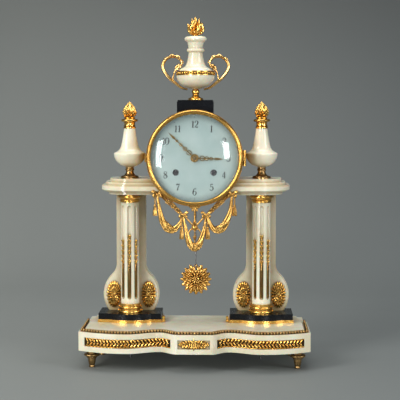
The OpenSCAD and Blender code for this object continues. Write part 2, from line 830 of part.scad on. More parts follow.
module bezel_profile() {
    r = bezel_r;
    difference() {
        union() {
            translate([dial_r + 1.9, 0]) square([r - dial_r - 1.9, lip_y + 0.5]);
            translate([dial_r, lip_y]) square([r - dial_r - 1.4, 2.6]);
            ring_profile(r, 2.6, 1.8);
            ring_profile(r - 0.6, 6.4, 1.6);
            translate([r - 4.1, bezel_d - 3.4]) circle(r = 3.4, $fn = 48);
            translate([dial_r + 1.4, lip_y + 2.2]) circle(r = 1.4, $fn = 32);
        }
        translate([0, -r]) square([2 * r, r]);
    }
}

module bezel() {
    color("goldenrod") difference() {
        union() {
            facing(-drum_front - 0.3) rotate_extrude($fn = 180) bezel_profile();
            translate([bezel_hinge[0], bezel_hinge[1], drum_z - knuckle_l / 2])
                cylinder(r = knuckle_r, h = knuckle_l, $fn = fine);
            translate([bezel_r - 2, bezel_hinge[1] - 2, drum_z - knuckle_l / 2])
                cube([hinge_out + 1, 2.4, knuckle_l]);
            facing(-drum_front - 3) translate([-bezel_r - 2.2, -6, 0]) cube([3.4, 12, 3]);
        }
        translate([bezel_hinge[0], bezel_hinge[1], drum_z - knuckle_l])
            cylinder(r = hinge_r + clear, h = 2 * knuckle_l, $fn = fine);
    }
}

module bezel_glass() {
    r = dial_r + 1.8;
    rise = glass_rise;
    big = (pow(r, 2) + pow(rise, 2)) / (2 * rise);
    color("lightblue") facing(-drum_front - 0.3 - lip_y + glass_edge) rotate_extrude($fn = 180)
        intersection() {
            difference() {
                translate([0, rise + glass_edge - big]) circle(r = big, $fn = 360);
                translate([0, rise - big]) circle(r = big, $fn = 360);
            }
            square([dial_r - 0.3, 20]);
        }
}

dial_t = 1.8;
dial_y = -drum_front + 3;
bush_r = 5;

module dial() {
    color("white") difference() {
        union() {
            facing(dial_y) cylinder(r = drum_r - drum_wall - seat, h = dial_t, $fn = 180);
            for (a = [40, 140, 230, 310])
                facing(front_plate_y - plate_t, [50 * cos(a), 50 * sin(a)])
                    cylinder(r = 1.5, h = front_plate_y - plate_t - dial_y + 0.2, $fn = 36);
        }
        facing(0) cylinder(r = pipe_r + 0.7, h = 60, $fn = fine);
        both_sides() facing(0, going_at) cylinder(r = bush_r, h = 60, $fn = fine);
    }
}

module rear_door() {
    color("goldenrod") union() {
        facing(drum_back + 0.3 + door_t) difference() {
            cylinder(r = door_r, h = door_t, $fn = 180);
            translate([0, 0, -1]) cylinder(r = door_r - 14, h = 1.8, $fn = 180);
        }
        difference() {
            union() {
                translate([door_hinge[0], door_hinge[1], drum_z - knuckle_l / 2])
                    cylinder(r = knuckle_r, h = knuckle_l, $fn = fine);
                translate([door_hinge[0], door_hinge[1] - 0.4, drum_z - knuckle_l / 2])
                    cube([hinge_out + 2, 1.5, knuckle_l]);
            }
            translate([door_hinge[0], door_hinge[1], drum_z - knuckle_l])
                cylinder(r = hinge_r + clear, h = 2 * knuckle_l, $fn = fine);
        }
        facing(drum_back + 5.4, [door_r - 7, 0]) cylinder(r = 3, h = 3.4, $fn = 36);
    }
}

// Garland of bronze under the drum: three swags between four knots, with tassels. Its points
// are given from the middle of a dial in a drum of 72, and grow with the drum.
garland_y = -drum_front + 4;
grow = drum_r / 72;
knot = [-18.2, -89.6];
outer = [-58.7, -57.2];
knob = [0, -109.5];
outer_sag = 39;
centre_sag = 52;
strap_t = 2.6;

function swag(a, b, sag, n) = [for (i = [0:n]) let (t = i / n, u = 2 * t - 1)
    [a[0] + (b[0] - a[0]) * (t + 0.06 * sin(360 * t)),
     a[1] + (b[1] - a[1]) * t - sag * (1 - pow(abs(u), 2.3))]];
function swell(n, r0, r1) = [for (i = [0:n]) r0 + (r1 - r0) * pow(sin(180 * i / n), 2.2)];

module strand(pts, rs, n = 7) {
    chain([for (p = pts) [p[0] * grow, garland_y, drum_z + p[1] * grow]], rs, n);
}

module on_garland(p) {
    translate([p[0] * grow, garland_y, drum_z + p[1] * grow]) children();
}

module tassel(p, h) {
    on_garland(p) {
        chain([[0, 0, 0], [0, 0, -h * 0.35], [0, 0, -h * 0.5]], [0.9, 0.9, 2.3], 8);
        translate([0, 0, -h]) cylinder(r1 = 3, r2 = 2.1, h = h * 0.5, $fn = 12);
    }
}

module flower(p, r) {
    on_garland(p) {
        for (i = [0:3]) rotate([0, i * 90 + 45, 0]) translate([0.6 * r, -r * 0.4, 0])
            sphere(r = r * 0.5, $fn = 5);
        translate([0, -r * 0.45, 0]) sphere(r = r * 0.66, $fn = 6);
    }
}

module garland() {
    color("goldenrod") {
        facing(-drum_front + 7) intersection() {
            difference() {
                cylinder(r = drum_r + seat + strap_t, h = 6.4, $fn = 120);
                translate([0, 0, -1]) cylinder(r = drum_r + seat, h = 20, $fn = 120);
            }
            translate([-drum_r, -drum_r - 10, -1]) cube([2 * drum_r, 22, 10]);
        }
        both_sides() {
            strand(swag(outer, knot, outer_sag, 11), swell(11, 1.7, 5.2));
            strand([[-41.5, -63], [-50, -60], outer, [-42, -68], knot, knob], [1.6, 1.5, 2, 1.3, 1.4, 1.4]);
            strand([[-42, -68], [-39.5, -64.4]], [1.5, 1.5]);
            strand([knob, [-4.6, knob[1] - 6], [-13, -116]], [1.2, 1.1, 1.1]);
            tassel([-62.6, -61], 30);
            tassel([-20.4, -92], 36);
            strand([outer, [-62.6, -61]], [1.6, 1.2]);
            flower(knot, 4.4);
            for (p = [[-27, -82], [-34, -76], [-42.5, -69.5]]) flower(p, 3.4);
            for (i = [4:2:8]) let (p = swag(outer, knot, outer_sag, 11)[i]) flower([p[0], p[1] - 2], 3.8);
        }
        strand(swag(knot, [-knot[0], knot[1]], centre_sag, 12), swell(12, 1.7, 5));
        for (i = [4:2:8]) let (p = swag(knot, [-knot[0], knot[1]], centre_sag, 12)[i])
            flower([p[0], p[1] - 2], 3.8);
        strand([[0, -74.9], knob], [2.6, 1.8]);
        strand([[-7, -80], [0, -83], [7, -80]], [1.6, 3.4, 1.6]);
        on_garland([0, knob[1]]) translate([0, -1.5, 0]) sphere(r = 5, $fn = 16);
        strand([[0, knob[1] - 6], [0, knob[1] - 14], [0, -140]], [0.9, 2, 1.4], 8);
    }
}

// Hands, pierced, drawn pointing up.
minute_l = 57.6;
hour_l = 45;
hand_t = 1;
minute_turn = -45.8;
hour_turn = 92;

module open_hand(l, w, bore) {
    difference() {
        union() {
            circle(r = 6.4, $fn = fine);
            for (k = [0:3]) let (c = 12 + k * l * 0.155, r = w * (1 - k * 0.17))
                translate([0, c]) difference() {
                    circle(r = r, $fn = 36);
                    circle(r = r - 1.1, $fn = 36);
                }
            polygon([[-0.8, 5], [0.8, 5], [0.55, l * 0.72], [1.9, l * 0.8], [0, l],
                [-1.9, l * 0.8], [-0.55, l * 0.72]]);
        }
        circle(r = bore, $fn = fine);
    }
}

hour_hand_y = dial_y - dial_t - 1.2;
minute_hand_y = hour_hand_y - hand_t - 1.4;
arbor_r = 1.4;
cannon_r = 2.3;
pipe_r = 3.3;

module hour_hand() {
    color("gold") facing(hour_hand_y) rotate([0, 0, -hour_turn])
        linear_extrude(hand_t) open_hand(hour_l, 4.2, pipe_r);
}

module minute_hand() {
    color("gold") facing(minute_hand_y) rotate([0, 0, -minute_turn])
        linear_extrude(hand_t) open_hand(minute_l, 4, cannon_r);
}

// Gear teeth: stub involutes of 25 degrees, thinned for backlash.
pressure = 25;
backlash = 0.2;
function inv_deg(a) = tan(a) * 180 / PI - a;
function tooth_half(z, m, r) = let (rp = z * m / 2, rb = rp * cos(pressure),
    half = (PI * m / 2 - backlash) / (2 * rp) * 180 / PI)
    half + inv_deg(pressure) - inv_deg(acos(min(1, rb / max(r, rb))));

module gear_plan(z, m, turn) {
    rp = z * m / 2;
    root = rp - 0.95 * m;
    rows = [root, rp - 0.35 * m, rp, rp + 0.7 * m];
    polygon([for (i = [0:z - 1], k = [0:7]) let (j = k < 4 ? k : 7 - k, s = k < 4 ? -1 : 1,
        a = turn + i * 360 / z + s * tooth_half(z, m, rows[j])) [rows[j] * cos(a), rows[j] * sin(a)]]);
}

// Wheel with four crossings, or a plain one where spokes is 0.
module wheel_plan(z, m, turn, rim, hub, spokes) {
    inner = z * m / 2 - 0.95 * m - rim;
    difference() {
        gear_plan(z, m, turn);
        if (spokes > 0) difference() {
            circle(r = inner, $fn = 96);
            circle(r = hub, $fn = 48);
            for (i = [0:spokes - 1]) rotate(i * 360 / spokes) translate([0, -0.9]) square([inner + 1, 1.8]);
        }
    }
}

// Where an arbor stands at distance ra from a and rb from b; side picks which of the two.
function meet(a, ra, b, rb, side) = let (d = norm(b - a), u = (b - a) / d,
    k = (ra * ra - rb * rb + d * d) / (2 * d), h = sqrt(ra * ra - k * k))
    a + u * k + side * h * [u[1], -u[0]];
function bearing(a, b) = atan2(b[1] - a[1], b[0] - a[0]);
function centres(z1, z2, m) = (z1 + z2) * m / 2;

barrel_z = 60;
barrel_m = 0.65;
second_pinion_z = 10;
second_z = 60;
second_m = 0.6;
centre_pinion_z = 10;
centre_z = 72;
centre_m = 0.5;
third_pinion_z = 8;
third_z = 80;
third_m = 0.4;
escape_pinion_z = 8;
escape_z = 40;
escape_r = 13;
cannon_z = 12;
minute_wheel_z = 36;
motion_m = 0.5;
hour_pinion_z = 10;
hour_wheel_z = 40;
hour_m = 0.48;

centre_at = [0, 0];
pend_rise = 48;
anchor_at = [0, pend_rise];
anchor_gap = escape_r / cos(38.25);
escape_at = [0, pend_rise - anchor_gap];
second_at = meet(centre_at, centres(second_z, centre_pinion_z, second_m),
    going_at, centres(barrel_z, second_pinion_z, barrel_m), -1);
third_at = meet(centre_at, centres(centre_z, third_pinion_z, centre_m),
    escape_at, centres(third_z, escape_pinion_z, third_m), 1);
minute_wheel_at = [0, centres(cannon_z, minute_wheel_z, motion_m)];
strike_at = [-going_at[0], going_at[1]];
pin_wheel_at = meet(centre_at, 26, strike_at, centres(barrel_z, second_pinion_z, barrel_m), 1);

plate_r = 58;
plate_t = 2.5;
plate_gap = 31.5;
front_plate_y = -drum_front + 10.5;
back_plate_y = front_plate_y + plate_gap;
pivot_r = 0.8;
winding_r = 3;
winding_pivot_r = 2.6;
pillar_r = 3.5;
pillar_ring = 52;
pillar_angles = [12, 168, 270, 55, 125];
hammer_at = [-32.6, 24.9];
hammer_r = 1.2;
bell_at = [-22, -14];
bell_post_r = 2.5;

module at_holes(list, r, y, h) {
    for (p = list) facing(y, p) cylinder(r = r + clear, h = h, $fn = fine);
}

module plate_holes(y) {
    at_holes([second_at, third_at, escape_at, pin_wheel_at], pivot_r, y, plate_t + 2);
    at_holes([going_at, strike_at], winding_pivot_r, y, plate_t + 2);
    at_holes([centre_at], arbor_r, y, plate_t + 2);
}

module front_plate() {
    color("gold") union() {
        difference() {
            facing(front_plate_y) cylinder(r = plate_r, h = plate_t, $fn = 144);
            plate_holes(front_plate_y + 1);
            at_holes([anchor_at, hammer_at], pivot_r, front_plate_y + 1, plate_t + 2);
        }
        facing(front_plate_y - plate_t, minute_wheel_at) cylinder(r = pivot_r, h = 4.4, $fn = fine);
        pillars();
    }
}

module back_plate() {
    color("gold") difference() {
        facing(back_plate_y + plate_t) cylinder(r = plate_r, h = plate_t, $fn = 144);
        plate_holes(back_plate_y + plate_t + 1);
        at_holes([anchor_at, hammer_at], hammer_r, back_plate_y + plate_t + 1, plate_t + 2);
    }
}

// Pillars are riveted to the front plate.
module pillars() {
    for (a = pillar_angles)
        facing(back_plate_y, [pillar_ring * cos(a), pillar_ring * sin(a)]) rotate_extrude($fn = fine) union() {
            square([pillar_r - 1, plate_gap]);
            square([pillar_r, 5]);
            translate([0, plate_gap - 5]) square([pillar_r, 5]);
            translate([0, plate_gap / 2 - 3]) square([pillar_r, 6]);
        }
}

// One spring barrel with its teeth at the front.
barrel_front = front_plate_y + 1.2;
barrel_teeth_t = 3;
barrel_body_r = 17.8;
barrel_d = 22;

module barrel(at, to) {
    facing(barrel_front + barrel_d, at) difference() {
        union() {
            cylinder(r = barrel_body_r, h = barrel_d - barrel_teeth_t, $fn = 120);
            translate([0, 0, barrel_d - barrel_teeth_t]) linear_extrude(barrel_teeth_t)
                gear_plan(barrel_z, barrel_m, bearing(at, to));
        }
        translate([0, 0, -1]) cylinder(r = winding_r + clear, h = barrel_d + 2, $fn = fine);
    }
}

module going_barrel() {
    color("gold") barrel(going_at, second_at);
}

module strike_barrel() {
    color("gold") barrel(strike_at, pin_wheel_at);
}

square_w = 3.4;

// The square ends inside the dial's hole, behind the hour hand.
square_l = front_plate_y - plate_t - 0.8 - (dial_y - dial_t) + 0.6;

module winding_arbor(at) {
    facing(back_plate_y - 0.3, at) cylinder(r = winding_r, h = plate_gap - 0.6, $fn = fine);
    facing(back_plate_y + plate_t, at)
        cylinder(r = winding_pivot_r, h = plate_gap + 2 * plate_t + 1, $fn = fine);
    facing(front_plate_y - plate_t - 0.8, at) difference() {
        cylinder(r = 6, h = 1.6, $fn = 96);
        for (i = [0:17]) rotate([0, 0, i * 20]) translate([5.4, 0, -1])
            linear_extrude(4) polygon([[0, 0], [1.4, 0], [1.4, 1.6]]);
    }
    facing(front_plate_y - plate_t - 0.8, at)
        translate([-square_w / 2, -square_w / 2, 0]) cube([square_w, square_w, square_l]);
}

module going_winding_arbor() {
    color("silver") winding_arbor(going_at);
}

module strike_winding_arbor() {
    color("silver") winding_arbor(strike_at);
}

// Arbor with a pivot at each end, between the plates.
module arbor(at, r, pr) {
    facing(back_plate_y + plate_t - 0.6, at) cylinder(r = pr, h = plate_gap + 2 * plate_t - 1.2, $fn = fine);
    facing(back_plate_y - 0.3, at) cylinder(r = r, h = plate_gap - 0.6, $fn = fine);
}

module train_wheel(at, y_wheel, t, z, m, next, y_pinion, pt, pz, pm, prev, r, pr) {
    arbor(at, r, pr);
    facing(y_wheel + t, at) linear_extrude(t) wheel_plan(z, m, bearing(at, next), 1.6, 3, 5);
    facing(y_pinion + pt, at) linear_extrude(pt) gear_plan(pz, pm, bearing(at, prev) + 180 / pz);
}

second_wheel_y = front_plate_y + 26.1;
centre_wheel_y = front_plate_y + 17.5;
third_wheel_y = front_plate_y + 10.5;
escape_wheel_y = front_plate_y + 24.5;

module second_wheel() {
    color("gold") train_wheel(second_at, second_wheel_y, 2, second_z, second_m, centre_at,
        barrel_front - 0.6, barrel_teeth_t + 1.2, second_pinion_z, barrel_m, going_at, 1.1, pivot_r);
}

module centre_wheel() {
    color("gold") union() {
        facing(back_plate_y + plate_t - 0.6, centre_at)
            cylinder(r = arbor_r, h = back_plate_y + plate_t - 0.6 - minute_hand_y + hand_t + 1.2, $fn = fine);
        facing(centre_wheel_y + 1.6, centre_at) linear_extrude(1.6)
            wheel_plan(centre_z, centre_m, bearing(centre_at, third_at), 1.6, 3, 5);
        facing(second_wheel_y + 2.8, centre_at) linear_extrude(3.6)
            gear_plan(centre_pinion_z, second_m, bearing(centre_at, second_at) + 18);
    }
}

module third_wheel() {
    color("gold") train_wheel(third_at, third_wheel_y, 1.4, third_z, third_m, escape_at,
        centre_wheel_y - 0.8, 3.2, third_pinion_z, centre_m, centre_at, 0.9, pivot_r);
}

module escape_plan() {
    difference() {
        polygon([for (i = [0:escape_z - 1], k = [0:2]) let (a = i * 360 / escape_z + [0, 1.2, 3.2][k],
            r = [escape_r - 1.8, escape_r, escape_r - 1.8][k]) [r * cos(a), r * sin(a)]]);
        difference() {
            circle(r = escape_r - 3.2, $fn = 72);
            circle(r = 2.6, $fn = 36);
            for (i = [0:4]) rotate(i * 72) translate([0, -0.6]) square([escape_r, 1.2]);
        }
    }
}

module escape_wheel() {
    color("gold") union() {
        arbor(escape_at, 0.9, pivot_r);
        facing(escape_wheel_y + 1.2, escape_at) linear_extrude(1.2) escape_plan();
        facing(third_wheel_y + 2.2, escape_at) linear_extrude(3)
            gear_plan(escape_pinion_z, third_m, bearing(escape_at, third_at) + 180 / escape_pinion_z);
    }
}

// Anchor with its arbor, crutch and fork; the pallets stay just clear of the wheel's tips.
crutch_y = back_plate_y + plate_t + 2;
pendulum_rod_r = 1;
fork_at = -36;

module anchor_and_crutch() {
    tip = escape_r + 0.8;
    color("silver") union() {
        facing(crutch_y + 1.6, anchor_at)
            cylinder(r = hammer_r, h = crutch_y + 1.6 - front_plate_y - 0.3, $fn = fine);
        facing(front_plate_y + 1, anchor_at) cylinder(r = pivot_r, h = plate_t + 0.5, $fn = fine);
        facing(escape_wheel_y + 1.4, escape_at) linear_extrude(1.6) difference() {
            intersection() {
                circle(r = tip + 2.6, $fn = 96);
                polygon([[0, anchor_gap + 3], [-14, 9.4], [-10.6, 4], [0, 14], [10.6, 4], [14, 9.4]]);
            }
            circle(r = tip, $fn = 96);
        }
        facing(escape_wheel_y + 1.4, anchor_at) cylinder(r = 2.4, h = 1.6, $fn = fine);
        facing(crutch_y + 1.2, anchor_at) translate([-1, fork_at, 0]) cube([2, -fork_at, 1.2]);
        facing(crutch_y + 1.2, anchor_at) cylinder(r = 2.2, h = 1.2, $fn = fine);
        for (side = [-1, 1]) facing(pend_y + 2, anchor_at)
            translate([side * (pendulum_rod_r + 0.15 + 0.6) - 0.6, fork_at, 0])
                cube([1.2, 3, pend_y + 2 - crutch_y]);
        facing(crutch_y + 1.2, anchor_at) translate([-2.4, fork_at, 0]) cube([4.8, 3, 1.2]);
    }
}

// Cock on the back plate that holds the top of the suspension spring.
module suspension_cock() {
    top = pend_rise + 3;
    color("gold") union() {
        facing(back_plate_y + plate_t + 2, [0, top]) translate([-7, 1, 0]) cube([14, 5, 2]);
        for (side = [-1, 1]) facing(pend_y + 3, [0, top])
            translate([side * 3.4 - 1.2, 1, 0]) cube([2.4, 4, pend_y + 3 - back_plate_y - plate_t]);
        facing(pend_y + 0.8, [0, top + 3]) rotate([0, 90, 0]) cylinder(r = 0.6, h = 6, center = true, $fn = 36);
    }
}

bob_r = 25.5;
bob_drop = 248.5;
bob_t = 7;
// How far the rod is screwed into the bob below its middle.
rod_depth = bob_r - 9;

module pendulum_rod() {
    color("dimgray") union() {
        facing(pend_y + 0.15, anchor_at) translate([-1.6, -14, 0]) cube([3.2, 15.6, 0.3]);
        facing(pend_y + 1.2, anchor_at) translate([-2.2, -18, 0]) cube([4.4, 5, 2.4]);
        translate([0, pend_y, drum_z + pend_rise - bob_drop - rod_depth])
            cylinder(r = pendulum_rod_r, h = bob_drop + rod_depth - 16, $fn = 36);
    }
}

module pendulum_bob() {
    color("peru") translate([0, pend_y, drum_z + pend_rise - bob_drop]) rotate([90, 0, 0]) difference() {
        union() {
            translate([0, 0, -1]) linear_extrude(2) lobed(bob_r, 15, 0.26);
            translate([0, 0, -bob_t / 2]) cylinder(r = bob_r - 8, h = bob_t - 1, $fn = 96);
            translate([0, 0, 0.9]) linear_extrude(2.6) lobed(bob_r - 6, 13, 0.22);
            translate([0, 0, 3.4]) linear_extrude(1.6) lobed(bob_r - 11.5, 10, 0.24);
            translate([0, 0, 4.9]) linear_extrude(1.3) lobed(bob_r - 17, 7, 0.24);
        }
        rotate([-90, 0, 0]) translate([0, 0, -rod_depth])
            cylinder(r = pendulum_rod_r + 0.05, h = rod_depth + bob_r + 5, $fn = fine);
    }
}

module pin_wheel() {
    pins = 10;
    color("gold") union() {
        train_wheel(pin_wheel_at, second_wheel_y, 2, second_z, second_m, centre_at,
            barrel_front - 0.6, barrel_teeth_t + 1.2, second_pinion_z, barrel_m, strike_at, 1.1, pivot_r);
        for (i = [0:pins - 1]) facing(second_wheel_y, pin_wheel_at + 16.2 * [cos(i * 36), sin(i * 36)])
            cylinder(r = 0.5, h = 2, $fn = 24);
    }
}

hammer_y = 49;
hammer_l = 20;
hammer_turn = 225;
tail_turn = 280;

module hammer() {
    color("silver") union() {
        facing(hammer_y, hammer_at) cylinder(r = hammer_r, h = hammer_y - front_plate_y - 0.3, $fn = fine);
        facing(front_plate_y + 1, hammer_at) cylinder(r = pivot_r, h = plate_t + 0.5, $fn = fine);
        facing(hammer_y, hammer_at) rotate([0, 0, hammer_turn]) translate([0, -0.9, 0]) cube([hammer_l, 1.8, 1.6]);
        facing(hammer_y + 0.8, hammer_at) cylinder(r = 2.4, h = 3, $fn = fine);
        facing(hammer_y + 2, hammer_at) rotate([0, 0, hammer_turn]) translate([hammer_l, 0, 0])
            cylinder(r = 3.4, h = 5.6, $fn = 48);
        facing(second_wheel_y + 0.6, hammer_at) rotate([0, 0, tail_turn]) translate([0, -0.8, 0])
            cube([5.5, 1.6, 1.4]);
    }
}

bell_r = 30;
bell_wall = 1.6;
bell_d = 19;

module bell() {
    color("silver") difference() {
        facing(bell_y, bell_at) rotate_extrude($fn = 120) difference() {
            polygon([[0, 0], [13, 0], [20, 2.4], [25.4, 6.6], [28.2, 11], [bell_r - 0.4, 16], [bell_r, bell_d],
                [bell_r - bell_wall, bell_d], [bell_r - bell_wall - 0.5, 16.2], [26.6, 11.6], [24.2, 7.8],
                [19.2, 3.9], [12.6, bell_wall], [0, bell_wall]]);
        }
        facing(bell_y + 1, bell_at) cylinder(r = bell_post_r - 0.9, h = 6, $fn = fine);
    }
}

module bell_stand() {
    color("gold") facing(bell_y + 3.4, bell_at) union() {
        cylinder(r = bell_post_r - 1, h = bell_y + 3.4 - back_plate_y - plate_t, $fn = fine);
        translate([0, 0, 3.4 + bell_wall])
            cylinder(r = bell_post_r, h = bell_y - bell_wall - back_plate_y - plate_t, $fn = fine);
        cylinder(r = 3, h = 3.3, $fn = 6);
    }
}

cannon_tooth_y = front_plate_y - plate_t - 0.5;
hour_tooth_y = cannon_tooth_y - 2.2;

module cannon_pinion() {
    color("silver") difference() {
        union() {
            facing(cannon_tooth_y, centre_at)
                cylinder(r = cannon_r, h = cannon_tooth_y - minute_hand_y + hand_t + 0.4, $fn = fine);
            facing(cannon_tooth_y, centre_at) linear_extrude(1.8) gear_plan(cannon_z, motion_m, 90);
        }
        facing(0, centre_at) cylinder(r = arbor_r + clear, h = 40, $fn = fine);
    }
}

module minute_wheel() {
    color("gold") difference() {
        union() {
            facing(cannon_tooth_y - 0.2, minute_wheel_at) linear_extrude(1.4)
                gear_plan(minute_wheel_z, motion_m, -90 + 180 / minute_wheel_z);
            facing(cannon_tooth_y - 1, minute_wheel_at) linear_extrude(2.9)
                gear_plan(hour_pinion_z, hour_m, -90);
        }
        facing(0, minute_wheel_at) cylinder(r = pivot_r + clear, h = 40, $fn = fine);
    }
}

module hour_wheel() {
    color("gold") difference() {
        union() {
            facing(hour_tooth_y, centre_at)
                cylinder(r = pipe_r, h = hour_tooth_y - hour_hand_y + hand_t + 0.2, $fn = fine);
            facing(hour_tooth_y, centre_at) linear_extrude(1.4)
                gear_plan(hour_wheel_z, hour_m, 90 + 180 / hour_wheel_z);
        }
        facing(0, centre_at) cylinder(r = cannon_r + clear, h = 40, $fn = fine);
    }
}

base_block();
base_bead_moulding();
friezes();
base_medallion();
feet();
tie_rods();
plinth_edgings();
plinths();
plinth_scrolls();
back_panel_left();
back_panel_right();
panel_rosettes();
column_bases();
column_left();
column_right();
flute_husks();
capitals();
cap_left();
cap_right();
vase_feet();
vase_left();
vase_right();
pinecones();
drum_case();
hinge_pins();
top_block();
urn_foot();
urn_bowl();
urn_bead_ring();
urn_lid();
urn_handles();
flame_finial();
garland();
bezel();
bezel_glass();
dial();
rear_door();
minute_hand();
cannon_pinion();
hour_hand();
hour_wheel();
minute_wheel();
front_plate();
back_plate();
going_barrel();
going_winding_arbor();
second_wheel();
centre_wheel();
third_wheel();
escape_wheel();
anchor_and_crutch();
suspension_cock();
pendulum_rod();
pendulum_bob();
strike_barrel();
strike_winding_arbor();
pin_wheel();
hammer();
bell();
bell_stand();
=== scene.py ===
"""Looks of the portico mantel clock: marble, gilt bronze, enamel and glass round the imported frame."""

import math

import bmesh
import bpy
from mathutils import Matrix, Vector


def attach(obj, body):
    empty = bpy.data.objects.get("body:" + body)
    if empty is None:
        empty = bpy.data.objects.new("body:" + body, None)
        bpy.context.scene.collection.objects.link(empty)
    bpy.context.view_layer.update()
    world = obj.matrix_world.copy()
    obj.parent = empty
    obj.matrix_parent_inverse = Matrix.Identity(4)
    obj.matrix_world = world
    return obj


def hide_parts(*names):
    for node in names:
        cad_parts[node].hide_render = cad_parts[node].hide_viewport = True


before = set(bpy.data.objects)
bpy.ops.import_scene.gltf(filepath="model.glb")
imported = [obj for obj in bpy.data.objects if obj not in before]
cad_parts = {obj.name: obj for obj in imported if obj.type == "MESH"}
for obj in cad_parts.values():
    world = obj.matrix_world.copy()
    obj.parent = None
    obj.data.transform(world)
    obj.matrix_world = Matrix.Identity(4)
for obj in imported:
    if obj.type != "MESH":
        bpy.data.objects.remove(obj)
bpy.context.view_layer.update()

# Places of the solids, in millimetres.
MM = 0.001
DRUM_Z = 330.0
COLUMN_X, COLUMN_Y = 106.0, 17.0
BOB_Y, BOB_Z = 31.5, 129.5
GARLAND_Y = -24.5
DIAL_FRONT = -27.3
GLASS_BACK = -31.5


# Node tools.

def add_node(tree, kind, values=None, **settings):
    """A node with its settings and the values of its unlinked sockets."""
    made = tree.nodes.new(kind)
    for key, value in settings.items():
        setattr(made, key, value)
    for key, value in (values or {}).items():
        made.inputs[key].default_value = value
    return made


def join(tree, source, target):
    """Links two sockets."""
    tree.links.new(source, target)


def mix(tree, factor, a, b, blend="MIX"):
    """Colour mix; each of factor, a and b is a socket or a plain value."""
    made = add_node(tree, "ShaderNodeMix", data_type="RGBA", blend_type=blend)
    for index, value in ((0, factor), (6, a), (7, b)):
        if hasattr(value, "is_linked"):
            join(tree, value, made.inputs[index])
        else:
            made.inputs[index].default_value = value
    return made.outputs[2]


def maths(tree, operation, a, b=0.0, clamp=False):
    """Sum, product and the like; a and b are sockets or plain values."""
    made = add_node(tree, "ShaderNodeMath", operation=operation, use_clamp=clamp)
    for index, value in enumerate((a, b)):
        if hasattr(value, "is_linked"):
            join(tree, value, made.inputs[index])
        else:
            made.inputs[index].default_value = value
    return made.outputs[0]


def spread(tree, value, low, high, to_low=0.0, to_high=1.0):
    """Maps a value from one range to another, held within it."""
    made = add_node(tree, "ShaderNodeMapRange")
    join(tree, value, made.inputs["Value"])
    for key, number in (("From Min", low), ("From Max", high), ("To Min", to_low), ("To Max", to_high)):
        made.inputs[key].default_value = number
    return made.outputs["Result"]


def new_group(name, inputs, outputs):
    """A shader node group with named sockets; returns (group, input node, output node)."""
    group = bpy.data.node_groups.new(name, "ShaderNodeTree")
    for label, kind, value in inputs:
        socket = group.interface.new_socket(name=label, in_out="INPUT", socket_type=kind)
        socket.default_value = value
    for label, kind in outputs:
        group.interface.new_socket(name=label, in_out="OUTPUT", socket_type=kind)
    return group, group.nodes.new("NodeGroupInput"), group.nodes.new("NodeGroupOutput")


def noise(tree, place, scale, detail=4.0, rough=0.55, distortion=0.0):
    """Soft noise over a place; scale is a socket or a plain value."""
    made = add_node(tree, "ShaderNodeTexNoise", {"Detail": detail, "Roughness": rough, "Distortion": distortion})
    join(tree, place, made.inputs["Vector"])
    if hasattr(scale, "is_linked"):
        join(tree, scale, made.inputs["Scale"])
    else:
        made.inputs["Scale"].default_value = scale
    return made.outputs["Fac"]


# Shared effects.

def make_stone_group():
    """Polished stone: soft clouds, thin veins, a slightly uneven polish and painted shade in its hollows."""
    group, into, out = new_group(
        "stone_figure",
        [
            ("Light", "NodeSocketColor", (0.8, 0.8, 0.8, 1)),
            ("Cloud", "NodeSocketColor", (0.7, 0.7, 0.7, 1)),
            ("Vein", "NodeSocketColor", (0.5, 0.5, 0.5, 1)),
            ("Scale", "NodeSocketFloat", 20.0),
            ("Vein Amount", "NodeSocketFloat", 0.3),
            ("Polish", "NodeSocketFloat", 0.2),
            ("Shade", "NodeSocketColor", (0.5, 0.5, 0.5, 1)),
        ],
        [("Color", "NodeSocketColor"), ("Roughness", "NodeSocketFloat"), ("Height", "NodeSocketFloat")],
    )
    place = add_node(group, "ShaderNodeTexCoord").outputs["Object"]
    clouds = noise(group, place, into.outputs["Scale"], detail=5.0)
    fine = noise(group, place, maths(group, "MULTIPLY", into.outputs["Scale"], 24.0), detail=2.0)
    coarse = noise(group, place, maths(group, "MULTIPLY", into.outputs["Scale"], 0.55), detail=6.0, rough=0.6,
                   distortion=1.6)
    line = maths(group, "ABSOLUTE", maths(group, "SUBTRACT", coarse, 0.5))
    vein = spread(group, line, 0.0, 0.028, 1.0, 0.0)
    patch = spread(group, clouds, 0.42, 0.62)
    body = mix(group, patch, into.outputs["Light"], into.outputs["Cloud"])
    strength = maths(group, "MULTIPLY", maths(group, "MULTIPLY", vein, into.outputs["Vein Amount"]), patch)
    figured = mix(group, strength, body, into.outputs["Vein"])
    # Painted shade: the stone is multiplied by the Shade colour where ambient occlusion finds nearby surfaces.
    occlusion = add_node(group, "ShaderNodeAmbientOcclusion", {"Distance": 0.026}, samples=8)
    painted_shade_mask = spread(group, occlusion.outputs["AO"], 0.3, 0.95, 1.0, 0.0)
    shaded = mix(group, 1.0, figured, into.outputs["Shade"], "MULTIPLY")
    join(group, mix(group, painted_shade_mask, figured, shaded), out.inputs["Color"])
    uneven = maths(group, "MULTIPLY", maths(group, "SUBTRACT", fine, 0.5), 0.12)
    join(group, maths(group, "ADD", into.outputs["Polish"], uneven), out.inputs["Roughness"])
    join(group, fine, out.inputs["Height"])
    return group


